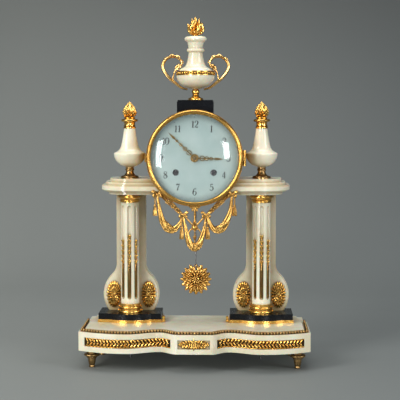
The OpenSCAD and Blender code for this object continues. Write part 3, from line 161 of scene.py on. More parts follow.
def make_gilding_group():
    """Fire gilding: rich gold on what stands out, painted shade in a dark brown in the recesses, matt and burnished
    patches.
    """
    group, into, out = new_group(
        "gilding",
        [
            ("Bright", "NodeSocketColor", (0.9, 0.6, 0.2, 1)),
            ("Body", "NodeSocketColor", (0.8, 0.5, 0.15, 1)),
            ("Recess Shade", "NodeSocketColor", (0.2, 0.1, 0.03, 1)),
            ("Depth", "NodeSocketFloat", 0.004),
            ("Recess Amount", "NodeSocketFloat", 1.0),
            ("Polish", "NodeSocketFloat", 0.3),
        ],
        [("Color", "NodeSocketColor"), ("Roughness", "NodeSocketFloat"), ("Height", "NodeSocketFloat")],
    )
    place = add_node(group, "ShaderNodeTexCoord").outputs["Object"]
    patch = noise(group, place, 90.0, detail=4.0)
    pits = noise(group, place, 1400.0, detail=2.0)
    # Painted shade: the gold turns to the recess colour, and rougher, where ambient occlusion finds the piece's own
    # surfaces near.
    occlusion = add_node(group, "ShaderNodeAmbientOcclusion", samples=6, only_local=True)
    join(group, into.outputs["Depth"], occlusion.inputs["Distance"])
    painted_shade_mask = spread(group, occlusion.outputs["AO"], 0.25, 0.85, 1.0, 0.0)
    painted_shade_mask = maths(group, "MULTIPLY", painted_shade_mask, into.outputs["Recess Amount"], clamp=True)
    worn = spread(group, patch, 0.35, 0.65)
    gold = mix(group, worn, into.outputs["Body"], into.outputs["Bright"])
    join(group, mix(group, painted_shade_mask, gold, into.outputs["Recess Shade"]), out.inputs["Color"])
    rough = maths(group, "ADD", into.outputs["Polish"], maths(group, "MULTIPLY", worn, -0.08))
    rough = maths(group, "ADD", rough, maths(group, "MULTIPLY", painted_shade_mask, 0.3))
    join(group, rough, out.inputs["Roughness"])
    join(group, pits, out.inputs["Height"])
    return group


stone_group = make_stone_group()
gilding_group = make_gilding_group()


def new_material(name, shader):
    """An empty material with one shader; shader gives the values of its constant sockets."""
    made = bpy.data.materials.new(name)
    made.use_nodes = True
    tree = made.node_tree
    surface = tree.nodes["Principled BSDF"]
    for key, value in shader.items():
        surface.inputs[key].default_value = value
    return made, tree, surface


def relief(tree, height, strength, distance, surface):
    """Turns a height into a bump of the surface."""
    bump = add_node(tree, "ShaderNodeBump", {"Strength": strength, "Distance": distance})
    join(tree, height, bump.inputs["Height"])
    join(tree, bump.outputs["Normal"], surface.inputs["Normal"])


def from_group(name, group, values, shader, bump_strength, bump_distance):
    """A material whose colour, roughness and relief come from a shared group."""
    made, tree, surface = new_material(name, shader)
    effect = add_node(tree, "ShaderNodeGroup", node_tree=group)
    for key, value in values.items():
        effect.inputs[key].default_value = value
    join(tree, effect.outputs["Color"], surface.inputs["Base Color"])
    join(tree, effect.outputs["Roughness"], surface.inputs["Roughness"])
    relief(tree, effect.outputs["Height"], bump_strength, bump_distance, surface)
    return made


def stone(name, light, cloud, vein, shade, scale, amount, polish, **shader):
    """A stone with its own colours, size of figure and polish."""
    values = {
        "Light": light, "Cloud": cloud, "Vein": vein, "Shade": shade, "Scale": scale, "Vein Amount": amount,
        "Polish": polish,
    }
    return from_group(name, stone_group, values, shader, 0.06, 0.0002)


def gilding(name, bright, body, recess_shade, depth=0.004, amount=1.0, polish=0.3, pits=0.25):
    """A metal with bright and duller patches, and painted shade in its recesses as deep as depth, in metres."""
    values = {
        "Bright": bright, "Body": body, "Recess Shade": recess_shade, "Depth": depth, "Recess Amount": amount, "Polish": polish,
    }
    return from_group(name, gilding_group, values, {"Metallic": 1.0}, pits, 0.0002)


# The fourth colour of each stone is the painted shade of its hollows.
white_marble = stone(
    "white_marble", (0.84, 0.8, 0.64, 1), (0.74, 0.68, 0.49, 1), (0.55, 0.47, 0.31, 1), (0.46, 0.34, 0.17, 1), 14.0,
    0.22, 0.2,
    **{"Coat Weight": 0.3, "Coat Roughness": 0.08, "Subsurface Weight": 0.3, "Subsurface Scale": 0.006},
)
black_marble = stone(
    "black_marble", (0.004, 0.005, 0.007, 1), (0.006, 0.007, 0.01, 1), (0.02, 0.021, 0.025, 1),
    (0.5, 0.5, 0.5, 1), 22.0, 0.15, 0.26,
    **{"Specular IOR Level": 0.18},
)
# The third colour of each metal is the painted shade of its recesses.
gilt = gilding("gilt_bronze", (0.98, 0.6, 0.16, 1), (0.84, 0.44, 0.09, 1), (0.1, 0.035, 0.006, 1), 0.005, 1.0, 0.28)
carved = gilding(
    "carved_gilding", (1.0, 0.66, 0.2, 1), (0.9, 0.5, 0.11, 1), (0.07, 0.025, 0.004, 1), 0.0017, 1.0, 0.24
)
burnished = gilding(
    "burnished_gilding", (0.7, 0.4, 0.1, 1), (0.55, 0.29, 0.065, 1), (0.08, 0.033, 0.007, 1), 0.003, 1.0, 0.3, 0.12
)
hand_gilding = gilding(
    "hand_gilding", (0.72, 0.5, 0.22, 1), (0.55, 0.34, 0.12, 1), (0.12, 0.06, 0.02, 1), 0.0015, 0.8, 0.3, 0.1
)
# Painted shade: a darkened copy of the gilding for the rods, standing for the shade and dark reflections deep in the
# flutes.
painted_shade_rod_gilding = gilding(
    "painted_shade_rod_gilding", (0.42, 0.25, 0.08, 1), (0.26, 0.14, 0.045, 1), (0.03, 0.015, 0.006, 1), 0.003, 1.0, 0.16, 0.1
)
bob_gilding = gilding(
    "bob_gilding", (0.8, 0.48, 0.14, 1), (0.6, 0.33, 0.08, 1), (0.035, 0.015, 0.004, 1), 0.0022, 1.0, 0.3
)
handle_gilding = gilding(
    "handle_gilding", (0.93, 0.62, 0.24, 1), (0.74, 0.43, 0.14, 1), (0.1, 0.045, 0.012, 1), 0.004, 0.9, 0.24
)
aged_bronze = gilding(
    "aged_bronze", (0.5, 0.32, 0.13, 1), (0.3, 0.18, 0.07, 1), (0.02, 0.01, 0.005, 1), 0.003, 1.0, 0.34
)
# Painted shadow: near-black bronze for the backings behind flowers, leaves and beads, seen as shadow in the gaps
# between them.
painted_shadow_bronze = gilding(
    "painted_shadow_bronze", (0.07, 0.045, 0.02, 1), (0.04, 0.024, 0.01, 1), (0.01, 0.006, 0.003, 1), 0.003, 1.0, 0.6
)
movement_brass = gilding(
    "movement_brass", (0.86, 0.66, 0.33, 1), (0.78, 0.57, 0.26, 1), (0.3, 0.18, 0.06, 1), 0.002, 0.5, 0.28, 0.1
)
bell_metal = gilding(
    "bell_metal", (0.8, 0.66, 0.42, 1), (0.7, 0.55, 0.32, 1), (0.3, 0.2, 0.1, 1), 0.003, 0.4, 0.24, 0.1
)
steel = gilding(
    "polished_steel", (0.34, 0.33, 0.33, 1), (0.22, 0.22, 0.23, 1), (0.05, 0.04, 0.04, 1), 0.002, 0.5, 0.3, 0.1
)


# Radii, in metres, over which the painted shade of the bezel deepens on the dial.
ENAMEL_SHADE = (0.058, 0.0705)


def make_enamel():
    """White enamel with a faint blue that is a painted reflection of the glass, and painted shade of the bezel
    darkening it towards the rim.
    """
    made, tree, surface = new_material("white_enamel", {"Coat Weight": 0.8, "Coat Roughness": 0.03})
    place = add_node(tree, "ShaderNodeTexCoord").outputs["Object"]
    tone = spread(tree, noise(tree, place, 30.0), 0.35, 0.65)
    specks = spread(tree, noise(tree, place, 900.0, detail=1.0), 0.74, 0.8)
    # Painted reflection: the blue-green of the enamel stands for the glass's reflection.
    body = mix(tree, tone, (0.46, 0.59, 0.575, 1), (0.53, 0.65, 0.63, 1))
    split = add_node(tree, "ShaderNodeSeparateXYZ")
    join(tree, place, split.inputs["Vector"])
    across = maths(tree, "POWER", split.outputs["X"], 2.0)
    up = maths(tree, "POWER", maths(tree, "SUBTRACT", split.outputs["Z"], DRUM_Z * MM), 2.0)
    reach = maths(tree, "SQRT", maths(tree, "ADD", across, up))
    # Painted shade: darker towards the rim, in the bezel's shadow.
    shade = spread(tree, reach, *ENAMEL_SHADE, 0.0, 0.75)
    body = mix(tree, shade, body, (0.16, 0.24, 0.26, 1))
    join(tree, mix(tree, maths(tree, "MULTIPLY", specks, 0.5), body, (0.3, 0.28, 0.25, 1)),
         surface.inputs["Base Color"])
    join(tree, spread(tree, tone, 0.0, 1.0, 0.16, 0.22), surface.inputs["Roughness"])
    relief(tree, noise(tree, place, 160.0, detail=2.0), 0.05, 0.0003, surface)
    return made


def make_black_enamel():
    """The black of the figures."""
    made, tree, surface = new_material("black_enamel", {"Coat Weight": 0.5, "Coat Roughness": 0.1})
    place = add_node(tree, "ShaderNodeTexCoord").outputs["Object"]
    tone = noise(tree, place, 500.0)
    join(tree, mix(tree, tone, (0.008, 0.008, 0.01, 1), (0.03, 0.028, 0.028, 1)), surface.inputs["Base Color"])
    join(tree, spread(tree, tone, 0.3, 0.7, 0.25, 0.4), surface.inputs["Roughness"])
    return made


def make_glass():
    """Clear, slightly smeared glass."""
    made, tree, surface = new_material(
        "dial_glass", {"Transmission Weight": 1.0, "IOR": 1.5, "Alpha": 0.3, "Base Color": (0.95, 0.98, 0.98, 1),
                       "Coat Weight": 1.0, "Coat Roughness": 0.02}
    )
    place = add_node(tree, "ShaderNodeTexCoord").outputs["Object"]
    smear = noise(tree, place, 40.0, detail=3.0)
    join(tree, spread(tree, smear, 0.3, 0.7, 0.0, 0.03), surface.inputs["Roughness"])
    return made


enamel = make_enamel()
black_enamel = make_black_enamel()
glass = make_glass()


def make_floor_material():
    """Grey paper with painted light: lighter at the left and low down, darker to the right and higher up."""
    made, tree, surface = new_material("studio_paper", {"Specular IOR Level": 0.3})
    place = add_node(tree, "ShaderNodeTexCoord").outputs["Object"]
    tone = noise(tree, place, 3.0)
    split = add_node(tree, "ShaderNodeSeparateXYZ")
    join(tree, place, split.inputs["Vector"])
    # Painted light: the paper's grey falls off to the right and upwards, as the studio light would.
    to_right = spread(tree, split.outputs["X"], -0.55, 0.6)
    up = spread(tree, split.outputs["Z"], 0.0, 1.05)
    low = mix(tree, to_right, (0.225, 0.24, 0.228, 1), (0.145, 0.162, 0.162, 1))
    high = mix(tree, to_right, (0.072, 0.08, 0.074, 1), (0.032, 0.035, 0.033, 1))
    grey = mix(tree, up, low, high)
    join(tree, mix(tree, maths(tree, "MULTIPLY", tone, 0.1), grey, (0.2, 0.2, 0.2, 1)), surface.inputs["Base Color"])
    join(tree, spread(tree, tone, 0.3, 0.7, 0.55, 0.65), surface.inputs["Roughness"])
    behind = add_node(tree, "ShaderNodeNewGeometry").outputs["Backfacing"]
    join(tree, maths(tree, "SUBTRACT", 1.0, behind), surface.inputs["Alpha"])
    return made


# Finish of the frame.

FINISHES = {
    white_marble: (
        "base_block back_panel_left back_panel_right column_left column_right cap_left cap_right"
        " vase_left vase_right urn_bowl urn_lid"
    ),
    black_marble: "plinths top_block",
    aged_bronze: "base_bead_moulding feet vase_feet",
    gilt: (
        "friezes base_medallion plinth_edgings plinth_scrolls panel_rosettes column_bases flute_husks capitals"
        " pinecones urn_foot urn_bead_ring urn_handles flame_finial garland pendulum_bob"
    ),
    burnished: "bezel drum_case rear_door",
    hand_gilding: "minute_hand hour_hand",
    enamel: "dial",
    glass: "bezel_glass",
    steel: (
        "tie_rods hinge_pins cannon_pinion going_winding_arbor strike_winding_arbor anchor_and_crutch"
        " pendulum_rod hammer"
    ),
    bell_metal: "bell",
    movement_brass: (
        "hour_wheel minute_wheel front_plate back_plate going_barrel second_wheel centre_wheel third_wheel"
        " escape_wheel suspension_cock strike_barrel pin_wheel bell_stand"
    ),
}
for finish, names in FINISHES.items():
    for name in names.split():
        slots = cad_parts[name].data.materials
        slots.clear()
        slots.append(finish)


# Floor, lights, camera.

def corners(geom):
    """The vertices in what an operator gives back."""
    return [g for g in geom if isinstance(g, bmesh.types.BMVert)]


def make_studio():
    """A paper sweep: floor, a wide bend and the wall behind, which can be seen through from its back."""
    sweep = bmesh.new()
    wide, front, back, high, bend = 3.0, -2.5, 1.6, 3.2, 0.9
    profile = [(front, 0.0), (back - bend, 0.0)]
    profile += [
        (back - bend + bend * math.sin(math.radians(a)), bend - bend * math.cos(math.radians(a)))
        for a in range(6, 91, 6)
    ]
    profile.append((back, high))
    start = [sweep.verts.new((-wide, y, z)) for y, z in profile]
    edges = [sweep.edges.new(pair) for pair in zip(start, start[1:])]
    moved = bmesh.ops.extrude_edge_only(sweep, edges=edges)["geom"]
    bmesh.ops.translate(sweep, vec=(2 * wide, 0, 0), verts=corners(moved))
    bmesh.ops.recalc_face_normals(sweep, faces=sweep.faces)
    sweep.faces.ensure_lookup_table()
    if sweep.faces[0].normal.z < 0:
        bmesh.ops.reverse_faces(sweep, faces=sweep.faces)
    mesh = bpy.data.meshes.new("studio_sweep")
    sweep.to_mesh(mesh)
    sweep.free()
    mesh.shade_smooth()
    mesh.materials.append(make_floor_material())
    made = bpy.data.objects.new("studio_sweep", mesh)
    bpy.context.collection.objects.link(made)


def aim(thing, target):
    """Turns a light towards a point."""
    direction = Vector(target) - thing.location
    thing.rotation_euler = direction.to_track_quat("-Z", "Y").to_euler()


def area_light(name, place, target, size, power, colour):
    """A softbox at a place, aimed at a target."""
    lamp = bpy.data.lights.new(name, "AREA")
    lamp.shape = "RECTANGLE"
    lamp.size, lamp.size_y = size
    lamp.energy = power
    lamp.color = colour
    made = bpy.data.objects.new(name, lamp)
    made.location = place
    bpy.context.collection.objects.link(made)
    aim(made, target)


make_studio()
LIGHTS = (
    ("key_softbox", (-1.7, -1.4, 1.6), (0, 0, 0.3), (0.9, 1.5), 46.0, (1.0, 0.98, 0.95)),
    ("fill_softbox", (1.9, -1.1, 1.1), (0, 0, 0.25), (0.9, 1.4), 22.0, (0.97, 0.98, 1.0)),
    ("top_softbox", (0.0, -0.1, 2.1), (0, 0.1, 0.2), (1.6, 1.2), 18.0, (1, 1, 1)),
    ("left_strip", (-0.98, -1.9, 0.36), (0, 0, 0.33), (0.3, 0.7), 12.0, (1, 1, 1)),
    ("right_window", (0.66, -2.05, 0.43), (0, 0, 0.33), (0.3, 0.4), 8.0, (1, 1, 1)),
    ("wall_wash", (-0.2, 0.3, 2.6), (-0.3, 1.6, 0.4), (2.4, 0.5), 14.0, (1, 1, 1)),
)
for light in LIGHTS:
    area_light(*light)

world = bpy.data.worlds.new("studio_air")
world.use_nodes = True
world.node_tree.nodes["Background"].inputs["Color"].default_value = (0.75, 0.8, 0.84, 1)
world.node_tree.nodes["Background"].inputs["Strength"].default_value = 0.15
bpy.context.scene.world = world
bpy.context.scene.view_settings.view_transform = "Standard"

EYE_PLACE, EYE_DOWN, EYE_LEFT = (0.058, -1.75, 0.409), 3.2, 1.65
eye = bpy.data.objects.new("photo_view", bpy.data.cameras.new("photo_view"))
eye.data.sensor_width = 36.0
eye.data.lens = 99.1
eye.data.shift_y = -0.0772
eye.location = EYE_PLACE
eye.rotation_euler = (math.radians(90 - EYE_DOWN), 0, math.radians(EYE_LEFT))
bpy.context.collection.objects.link(eye)
bpy.context.scene.camera = eye


# Modelling helpers.

def new_piece(bm, name, finish, body="case", replaced=(), angle=50):
    """Turns a bmesh drawn in millimetres into a piece that rides on a body."""
    bmesh.ops.scale(bm, vec=(MM, MM, MM), verts=bm.verts)
    bmesh.ops.recalc_face_normals(bm, faces=bm.faces)
    mesh = bpy.data.meshes.new(name)
    bm.to_mesh(mesh)
    bm.free()
    mesh.shade_smooth()
    mesh.set_sharp_from_angle(angle=math.radians(angle))
    mesh.materials.append(finish)
    made = bpy.data.objects.new(name, mesh)
    bpy.context.collection.objects.link(made)
    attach(made, body)
    if replaced:
        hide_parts(*replaced)


def upright(x, y, z, turn=0.0):
    """A drawing plane on a front face: X to the right, Y up, Z out of the face."""
    return Matrix.Translation((x, y, z)) @ Matrix.Rotation(turn, 4, "Z") @ Matrix.Rotation(math.pi / 2, 4, "X")


def spun(angle, x=0.0, y=0.0, z=0.0):
    """Turned in the drawing plane about its Z, then moved out along its own X."""
    return Matrix.Rotation(math.radians(angle), 4, "Z") @ Matrix.Translation((x, y, z))


def pour(small, bm):
    """Adds a small finished bmesh to a larger one; long pieces are built quicker from small ones."""
    mesh = bpy.data.meshes.new("pour")
    small.to_mesh(mesh)
    small.free()
    bm.from_mesh(mesh)
    bpy.data.meshes.remove(mesh)


def petal(bm, place, length, width, thick, lift=0.0, cup=0.0, ribs=0, rib=0.0, full=0.6, sides=10, rings=7):
    """A closed leaf along X from its root, its face to Z; full is how late along it is widest."""
    small = bmesh.new()
    bmesh.ops.create_uvsphere(
        small, u_segments=sides, v_segments=rings, radius=1.0, matrix=Matrix.Rotation(math.pi / 2, 4, "Y")
    )
    for v in small.verts:
        along = (v.co.x + 1) / 2
        shape = 0.42 + 0.9 * along**full * (1.25 - along)
        ridge = rib * math.cos(math.pi * ribs * v.co.y) if v.co.z > 0 and ribs else 0.0
        ridge *= min(1, 4 * along * (1 - along))
        height = thick / 2 * v.co.z + lift * along * along + cup * v.co.y * v.co.y + ridge
        v.co = place @ Vector((length * along, width / 2 * v.co.y * shape, height))
    pour(small, bm)


def ball(bm, place, radius, sides=12, rings=8, squash=1.0):
    """Adds a ball, flattened along its own Z by squash."""
    small = bmesh.new()
    bmesh.ops.create_uvsphere(
        small, u_segments=sides, v_segments=rings, radius=radius, matrix=place @ Matrix.Diagonal((1, 1, squash, 1))
    )
    pour(small, bm)


def tube(bm, points, radii, sides=10, flat=1.0):
    """A closed tube through points, with a radius at each; flat thins it along its side."""
    points = [Vector(p) for p in points]
    heading = (points[1] - points[0]).normalized()
    side = heading.orthogonal().normalized()
    ring, place_before = None, None
    small = bmesh.new()
    for index, point in enumerate(points):
        after = points[min(index + 1, len(points) - 1)]
        before = points[max(index - 1, 0)]
        heading = (after - before).normalized()
        side = (side - heading * side.dot(heading)).normalized()
        place = Matrix.Translation(point) @ Matrix((side, heading.cross(side), heading)).transposed().to_4x4()
        place = place @ Matrix.Diagonal((radii[index], radii[index] * flat, 1, 1))
        if ring is None:
            bmesh.ops.create_circle(small, cap_ends=True, segments=sides, radius=1.0, matrix=place)
            ring = small.edges[:]
        else:
            moved = bmesh.ops.extrude_edge_only(small, edges=ring)["geom"]
            new = corners(moved)
            step = place @ place_before.inverted()
            for v in new:
                v.co = step @ v.co
            ring = [
                g for g in moved
                if isinstance(g, bmesh.types.BMEdge) and g.verts[0] in new and g.verts[1] in new
            ]
        place_before = place
    bmesh.ops.edgeloop_fill(small, edges=ring)
    pour(small, bm)


def turned(bm, profile, place=Matrix(), steps=48):
    """A body turned from (radius, height) points; it starts and ends on its axis."""
    small = bmesh.new()
    verts = [small.verts.new((r, 0, h)) for r, h in profile]
    edges = [small.edges.new(pair) for pair in zip(verts, verts[1:])]
    bmesh.ops.spin(
        small, geom=verts + edges, cent=(0, 0, 0), axis=(0, 0, 1), angle=2 * math.pi, steps=steps, use_merge=True
    )
    bmesh.ops.remove_doubles(small, verts=small.verts, dist=1e-4)
    bmesh.ops.transform(small, matrix=place, verts=small.verts)
    pour(small, bm)


def dressed(profile, radius=0.5, steps=4):
    """Rounds the corners of a profile: each inner point gives way to a short arc."""
    out = [profile[0]]
    for a, b, c in zip(profile, profile[1:], profile[2:]):
        before, corner, after = Vector(a), Vector(b), Vector(c)
        reach = min(radius, (before - corner).length * 0.45, (after - corner).length * 0.45)
        p = corner + (before - corner).normalized() * reach
        q = corner + (after - corner).normalized() * reach
        for k in range(steps + 1):
            t = k / steps
            out.append(tuple(p * (1 - t) ** 2 + corner * 2 * t * (1 - t) + q * t * t))
    return out + [profile[-1]]


# Pendulum bob.

def make_bob():
    """Flower of layered, ribbed petals round a boss, on a thin dished back."""
    bm = bmesh.new()
    centre = upright(0, BOB_Y, BOB_Z)
    turned(bm, [(0, -1.8), (19, -1.8), (21, -1.4), (21, -0.8), (9, 0.2), (0, 1.0)], centre, 45)
    rows = (
        (16, 11.5, 14.0, 9.0, 2.2, -0.9, 0.0),
        (16, 8.5, 12.0, 7.0, 2.6, 0.9, 0.3),
        (16, 6.0, 10.0, 5.4, 2.2, 2.2, 0.5),
        (12, 3.4, 8.0, 4.8, 2.2, 3.4, 0.8),
    )
    for row, (count, start, length, width, thick, rise, lift) in enumerate(rows):
        for i in range(count):
            angle = (i + 0.5 * (row % 2)) * 360 / count
            place = centre @ spun(angle, start, 0, rise)
            petal(bm, place, length, width, thick, lift=lift, cup=-1.1, ribs=1, rib=0.5, full=1.0, sides=14)
    for i in range(8):
        petal(bm, centre @ spun(i * 45 + 20, 1.6, 0, 4.8), 5.2, 3.4, 1.8, lift=1.2, cup=-0.4, sides=8, rings=6)
    for i in range(7):
        ball(bm, centre @ spun(i * 360 / 7, 1.9, 0, 6.2), 0.8, 8, 6)
    ball(bm, centre @ spun(0, 0, 0, 6.3), 1.2, 10, 8)
    new_piece(bm, "bob_flower", bob_gilding, "pendulum", ["pendulum_bob"])


# Rosettes on the back panels.

ROSETTE_W, ROSETTE_H = 24.0, 42.0
ROSETTE_Y, ROSETTE_Z = 38.05, 104.0
ROSETTE_OUT = 28.5


def make_rosettes():
    """Four oval flowers with rings of narrow ribbed leaves, on the bulbs of the back panels, each on a near-black
    oval of painted shadow.
    """
    bm, shadow_sheet = bmesh.new(), bmesh.new()
    for column, step in ((-1, -1), (-1, 1), (1, -1), (1, 1)):
        centre = upright(column * COLUMN_X + step * ROSETTE_OUT, ROSETTE_Y, ROSETTE_Z)
        oval = centre @ Matrix.Diagonal((1, ROSETTE_H / ROSETTE_W, 1, 1))
        turned(shadow_sheet, [(0, 0), (10.2, 0), (10.4, 0.4), (9, 0.8), (5, 1.2), (0, 1.6)], oval, 48)
        for count, inner, outer, wide, rise, lift in (
            (20, 0.4, 1.04, 6.3, 2.2, -0.3), (14, 0.2, 0.62, 4.8, 3.4, 0.0),
        ):
            for i in range(count):
                a = 2 * math.pi * (i + 0.5) / count
                across, up = ROSETTE_W / 2 * math.cos(a), ROSETTE_H / 2 * math.sin(a)
                root = Vector((across * inner, up * inner * 1.04, rise))
                reach = Vector((across * (outer - inner), up * (outer - inner), 0))
                heading = math.atan2(reach.y, reach.x)
                place = centre @ Matrix.Translation(root) @ Matrix.Rotation(heading, 4, "Z")
                petal(bm, place, reach.length, wide, 2.9, lift=lift, cup=-0.9, ribs=1, rib=0.4, full=1.4,
                      sides=10, rings=7)
        for i in range(14):
            a = 2 * math.pi * i / 14
            ball(bm, centre @ Matrix.Translation((2.9 * math.cos(a), 6.6 * math.sin(a), 3.4)), 1.0, 8, 6)
        for side in (-1, 1):
            seed = centre @ Matrix.Translation((side, 0, 3.2)) @ Matrix.Diagonal((1.1, 4.6, 1.6, 1))
            ball(bm, seed, 1.0, 12, 10)
    # Painted shadow: the near-black ovals show as shadow between the leaves.
    new_piece(shadow_sheet, "flower_shadow_backs", painted_shadow_bronze, "case", ["panel_rosettes"])
    new_piece(bm, "panel_flowers", carved, "case", ["panel_rosettes"])


# Mounts on the front of the base.

FRONT_Y = -76.0
PANEL_BACK = 2.5
FRIEZE_X = (36.3, 170.7)
FRIEZE_Z = (37.6, 51.4)
FRIEZE_LEAVES = 24


def eased(a, b, t):
    """From a to b with a soft start and end."""
    return a + (b - a) * (1 - math.cos(math.pi * t)) / 2


def front_line(x):
    """Distance of the serpentine front behind its flat centre."""
    ax = abs(x)
    if ax < 27:
        return 0.0
    if ax < 53:
        return eased(0, 17.5, (ax - 27) / 26)
    if ax < 104:
        return eased(17.5, 1.5, (ax - 53) / 51)
    return 1.5 + 22.5 * ((ax - 104) / 77) ** 2


def on_front(x, z, depth):
    """The drawing plane that lies on the front at x, depth behind the face."""
    slope = (front_line(x + 0.25) - front_line(x - 0.25)) * 2
    return upright(x, FRONT_Y + front_line(x) + depth, z, math.atan(slope))


def make_frieze(side, name):
    """A band of paired leaves in the sunk panel, on a thin near-black back of painted shadow between two rails."""
    bm, shadow_sheet = bmesh.new(), bmesh.new()
    low, high = FRIEZE_Z
    middle = (low + high) / 2
    xs = [side * (FRIEZE_X[0] + (FRIEZE_X[1] - FRIEZE_X[0]) * i / 72) for i in range(73)]
    start = [shadow_sheet.verts.new((x, FRONT_Y + front_line(x) + PANEL_BACK - 0.75, low)) for x in xs]
    edges = [shadow_sheet.edges.new(pair) for pair in zip(start, start[1:])]
    moved = bmesh.ops.extrude_edge_only(shadow_sheet, edges=edges)["geom"]
    bmesh.ops.translate(shadow_sheet, vec=(0, 0, high - low), verts=corners(moved))
    bmesh.ops.recalc_face_normals(shadow_sheet, faces=shadow_sheet.faces)
    if shadow_sheet.faces[0].normal.y > 0:
        bmesh.ops.reverse_faces(shadow_sheet, faces=shadow_sheet.faces)
    bmesh.ops.solidify(shadow_sheet, geom=shadow_sheet.faces[:] + shadow_sheet.edges[:] + shadow_sheet.verts[:], thickness=0.5)
    for z in (low + 0.7, high - 0.7):
        tube(bm, [(x, FRONT_Y + front_line(x) + PANEL_BACK - 0.9, z) for x in xs], [0.7] * len(xs), 8)
    pitch = (FRIEZE_X[1] - FRIEZE_X[0] - 5) / FRIEZE_LEAVES
    for i in range(FRIEZE_LEAVES):
        x = side * (FRIEZE_X[0] + 3.4 + pitch * (i + 0.5))
        for up in (-1, 1):
            place = on_front(x - side * 1.8, middle, PANEL_BACK - 1.7)
            heading = 0 if side > 0 else 180
            place = place @ spun(heading + up * (58 if side > 0 else -58))
            petal(bm, place, 7.6, 4.7, 2.6, lift=-0.2, cup=-0.6, ribs=1, rib=0.3, full=0.8, sides=10, rings=7)
        ball(bm, on_front(x - side * 2.7, middle, PANEL_BACK - 2.2), 1.0, 8, 6)
    # Painted shadow: the near-black back shows as shadow between the leaves.
    new_piece(shadow_sheet, name + "_shadow_back", painted_shadow_bronze, "case", ["friezes"])
    new_piece(bm, name, carved, "case", ["friezes"])


BEAD_PITCH, BEAD_IN, BEAD_R = 4.9, 4.6, 1.95
LEDGE_Z, SIDE_X, SIDE_END = 59.5, 181.0, 34.0


def make_beads():
    """Row of beads on a thin near-black rail, painted shadow between the beads, along the front edge of the base and
    back along its sides.
    """
    bm, dark = bmesh.new(), bmesh.new()
    edge = []
    for i in range(-176, 177):
        x = float(i)
        slope = (front_line(x + 0.25) - front_line(x - 0.25)) * 2
        grow = BEAD_IN / math.sqrt(1 + slope * slope)
        edge.append((x - slope * grow, FRONT_Y + front_line(x) + grow))
    right = SIDE_X - BEAD_IN
    edge = [p for p in edge if abs(p[0]) < right]
    corner = edge[-1][1] + 0.6
    line = [(-right, SIDE_END), (-right, corner)] + edge + [(right, corner), (right, SIDE_END)]
    rail = [(x, y, LEDGE_Z + 0.7) for x, y in line[::3] + [line[-1]]]
    # Painted shadow: a flat near-black band behind the beads, seen in the gaps between them.
    tube(dark, rail, [2.6] * len(rail), 10, 0.3)
    left_over = 0.0
    for near, far in zip(line, line[1:]):
        start, heading = Vector(near), Vector(far) - Vector(near)
        length = heading.length
        while left_over < length:
            spot = start + heading * (left_over / length)
            ball(bm, Matrix.Translation((spot.x, spot.y, LEDGE_Z + 2.3)), BEAD_R, 12, 8, 1.18)
            left_over += BEAD_PITCH
        left_over -= length
    new_piece(dark, "bead_shadow_rail", painted_shadow_bronze, "case", ["base_bead_moulding"])
    new_piece(bm, "beads", aged_bronze, "case", ["base_bead_moulding"])


def make_medallion():
    """Rose between two sprays of leaves in the sunk panel of the centre."""
    bm = bmesh.new()
    centre = upright(0, FRONT_Y + PANEL_BACK, sum(FRIEZE_Z) / 2) @ Matrix.Diagonal((1, 1.22, 1, 1))
    turned(bm, [(0, 0), (6.2, 0), (6.6, 0.4), (6, 1.2), (0, 1.8)], centre, 36)
    for i in range(8):
        petal(bm, centre @ spun(i * 45, 2.6, 0, 2.2), 5.2, 3.9, 2.2, lift=-0.1, cup=-0.5, sides=10, rings=7)
        petal(bm, centre @ spun(i * 45 + 22.5, 1.2, 0, 3.0), 3.4, 2.8, 1.6, lift=0.4, cup=-0.3, sides=8, rings=6)
    ball(bm, centre @ spun(0, 0, 0, 3.6), 1.5, 12, 8)
    for side in (-1, 1):
        heading = 0 if side > 0 else 180
        spray = centre @ spun(heading, 0, 0, 0)
        tube(bm, [spray @ Vector((x, 0.9 * math.sin(x * 0.5), 0.7)) for x in range(4, 22, 2)],
             [0.9 - 0.06 * k for k in range(9)], 8)
        leaves = (
            (5, 58, 7.6, 3.8), (5, -58, 7.6, 3.8), (8.8, 46, 7.8, 3.8), (8.8, -46, 7.8, 3.8), (12.8, 38, 7.2, 3.6),
            (12.8, -38, 7.2, 3.6), (16.6, 26, 6.0, 3.2), (16.6, -26, 6.0, 3.2), (18.4, 0, 5.6, 3.2),
        )
        for x, angle, length, wide in leaves:
            place = spray @ Matrix.Translation((x, 0, 2.0)) @ Matrix.Rotation(math.radians(angle), 4, "Z")
            petal(bm, place, length, wide, 2.2, lift=0.3, cup=-0.5, ribs=1, rib=0.3, full=0.6, sides=10, rings=7)
        for x, y in ((7.4, 2.6), (11.2, -2.4), (14.6, 2.0)):
            ball(bm, spray @ Matrix.Translation((x, y, 3.0)), 1.2, 8, 6)
    new_piece(bm, "base_rose", carved, "case", ["base_medallion"])


# Smooth lines.

def smooth_line(points, per=5):
    """A curve through the points, with per steps between each two."""
    pts = [Vector(p) for p in points]
    ends = [pts[0] * 2 - pts[1]] + pts + [pts[-1] * 2 - pts[-2]]
    out = []
    for a, b, c, d in zip(ends, ends[1:], ends[2:], ends[3:]):
        for k in range(per):
            t = k / per
            square, cube = 2 * a - 5 * b + 4 * c - d, 3 * b - a - 3 * c + d
            out.append(0.5 * (2 * b + (c - a) * t + square * t**2 + cube * t**3))
    return out + [pts[-1]]


def smooth_radii(radii, per=5):
    """The radii that go with a smooth line of as many points."""
    return [v.x for v in smooth_line([(r, 0, 0) for r in radii], per)]


def along(point, heading, face):
    """A place whose X runs along heading and whose Z looks as much as it can towards face."""
    x = Vector(heading).normalized()
    y = Vector(face).cross(x).normalized()
    return Matrix.Translation(point) @ Matrix((x, y, x.cross(y))).transposed().to_4x4()


# Pinecones.

CONE_Z, CONE_H, CONE_R = 375.6, 40.7, 10.4
CONE_SCALES, GOLDEN_TURN = 104, 137.508


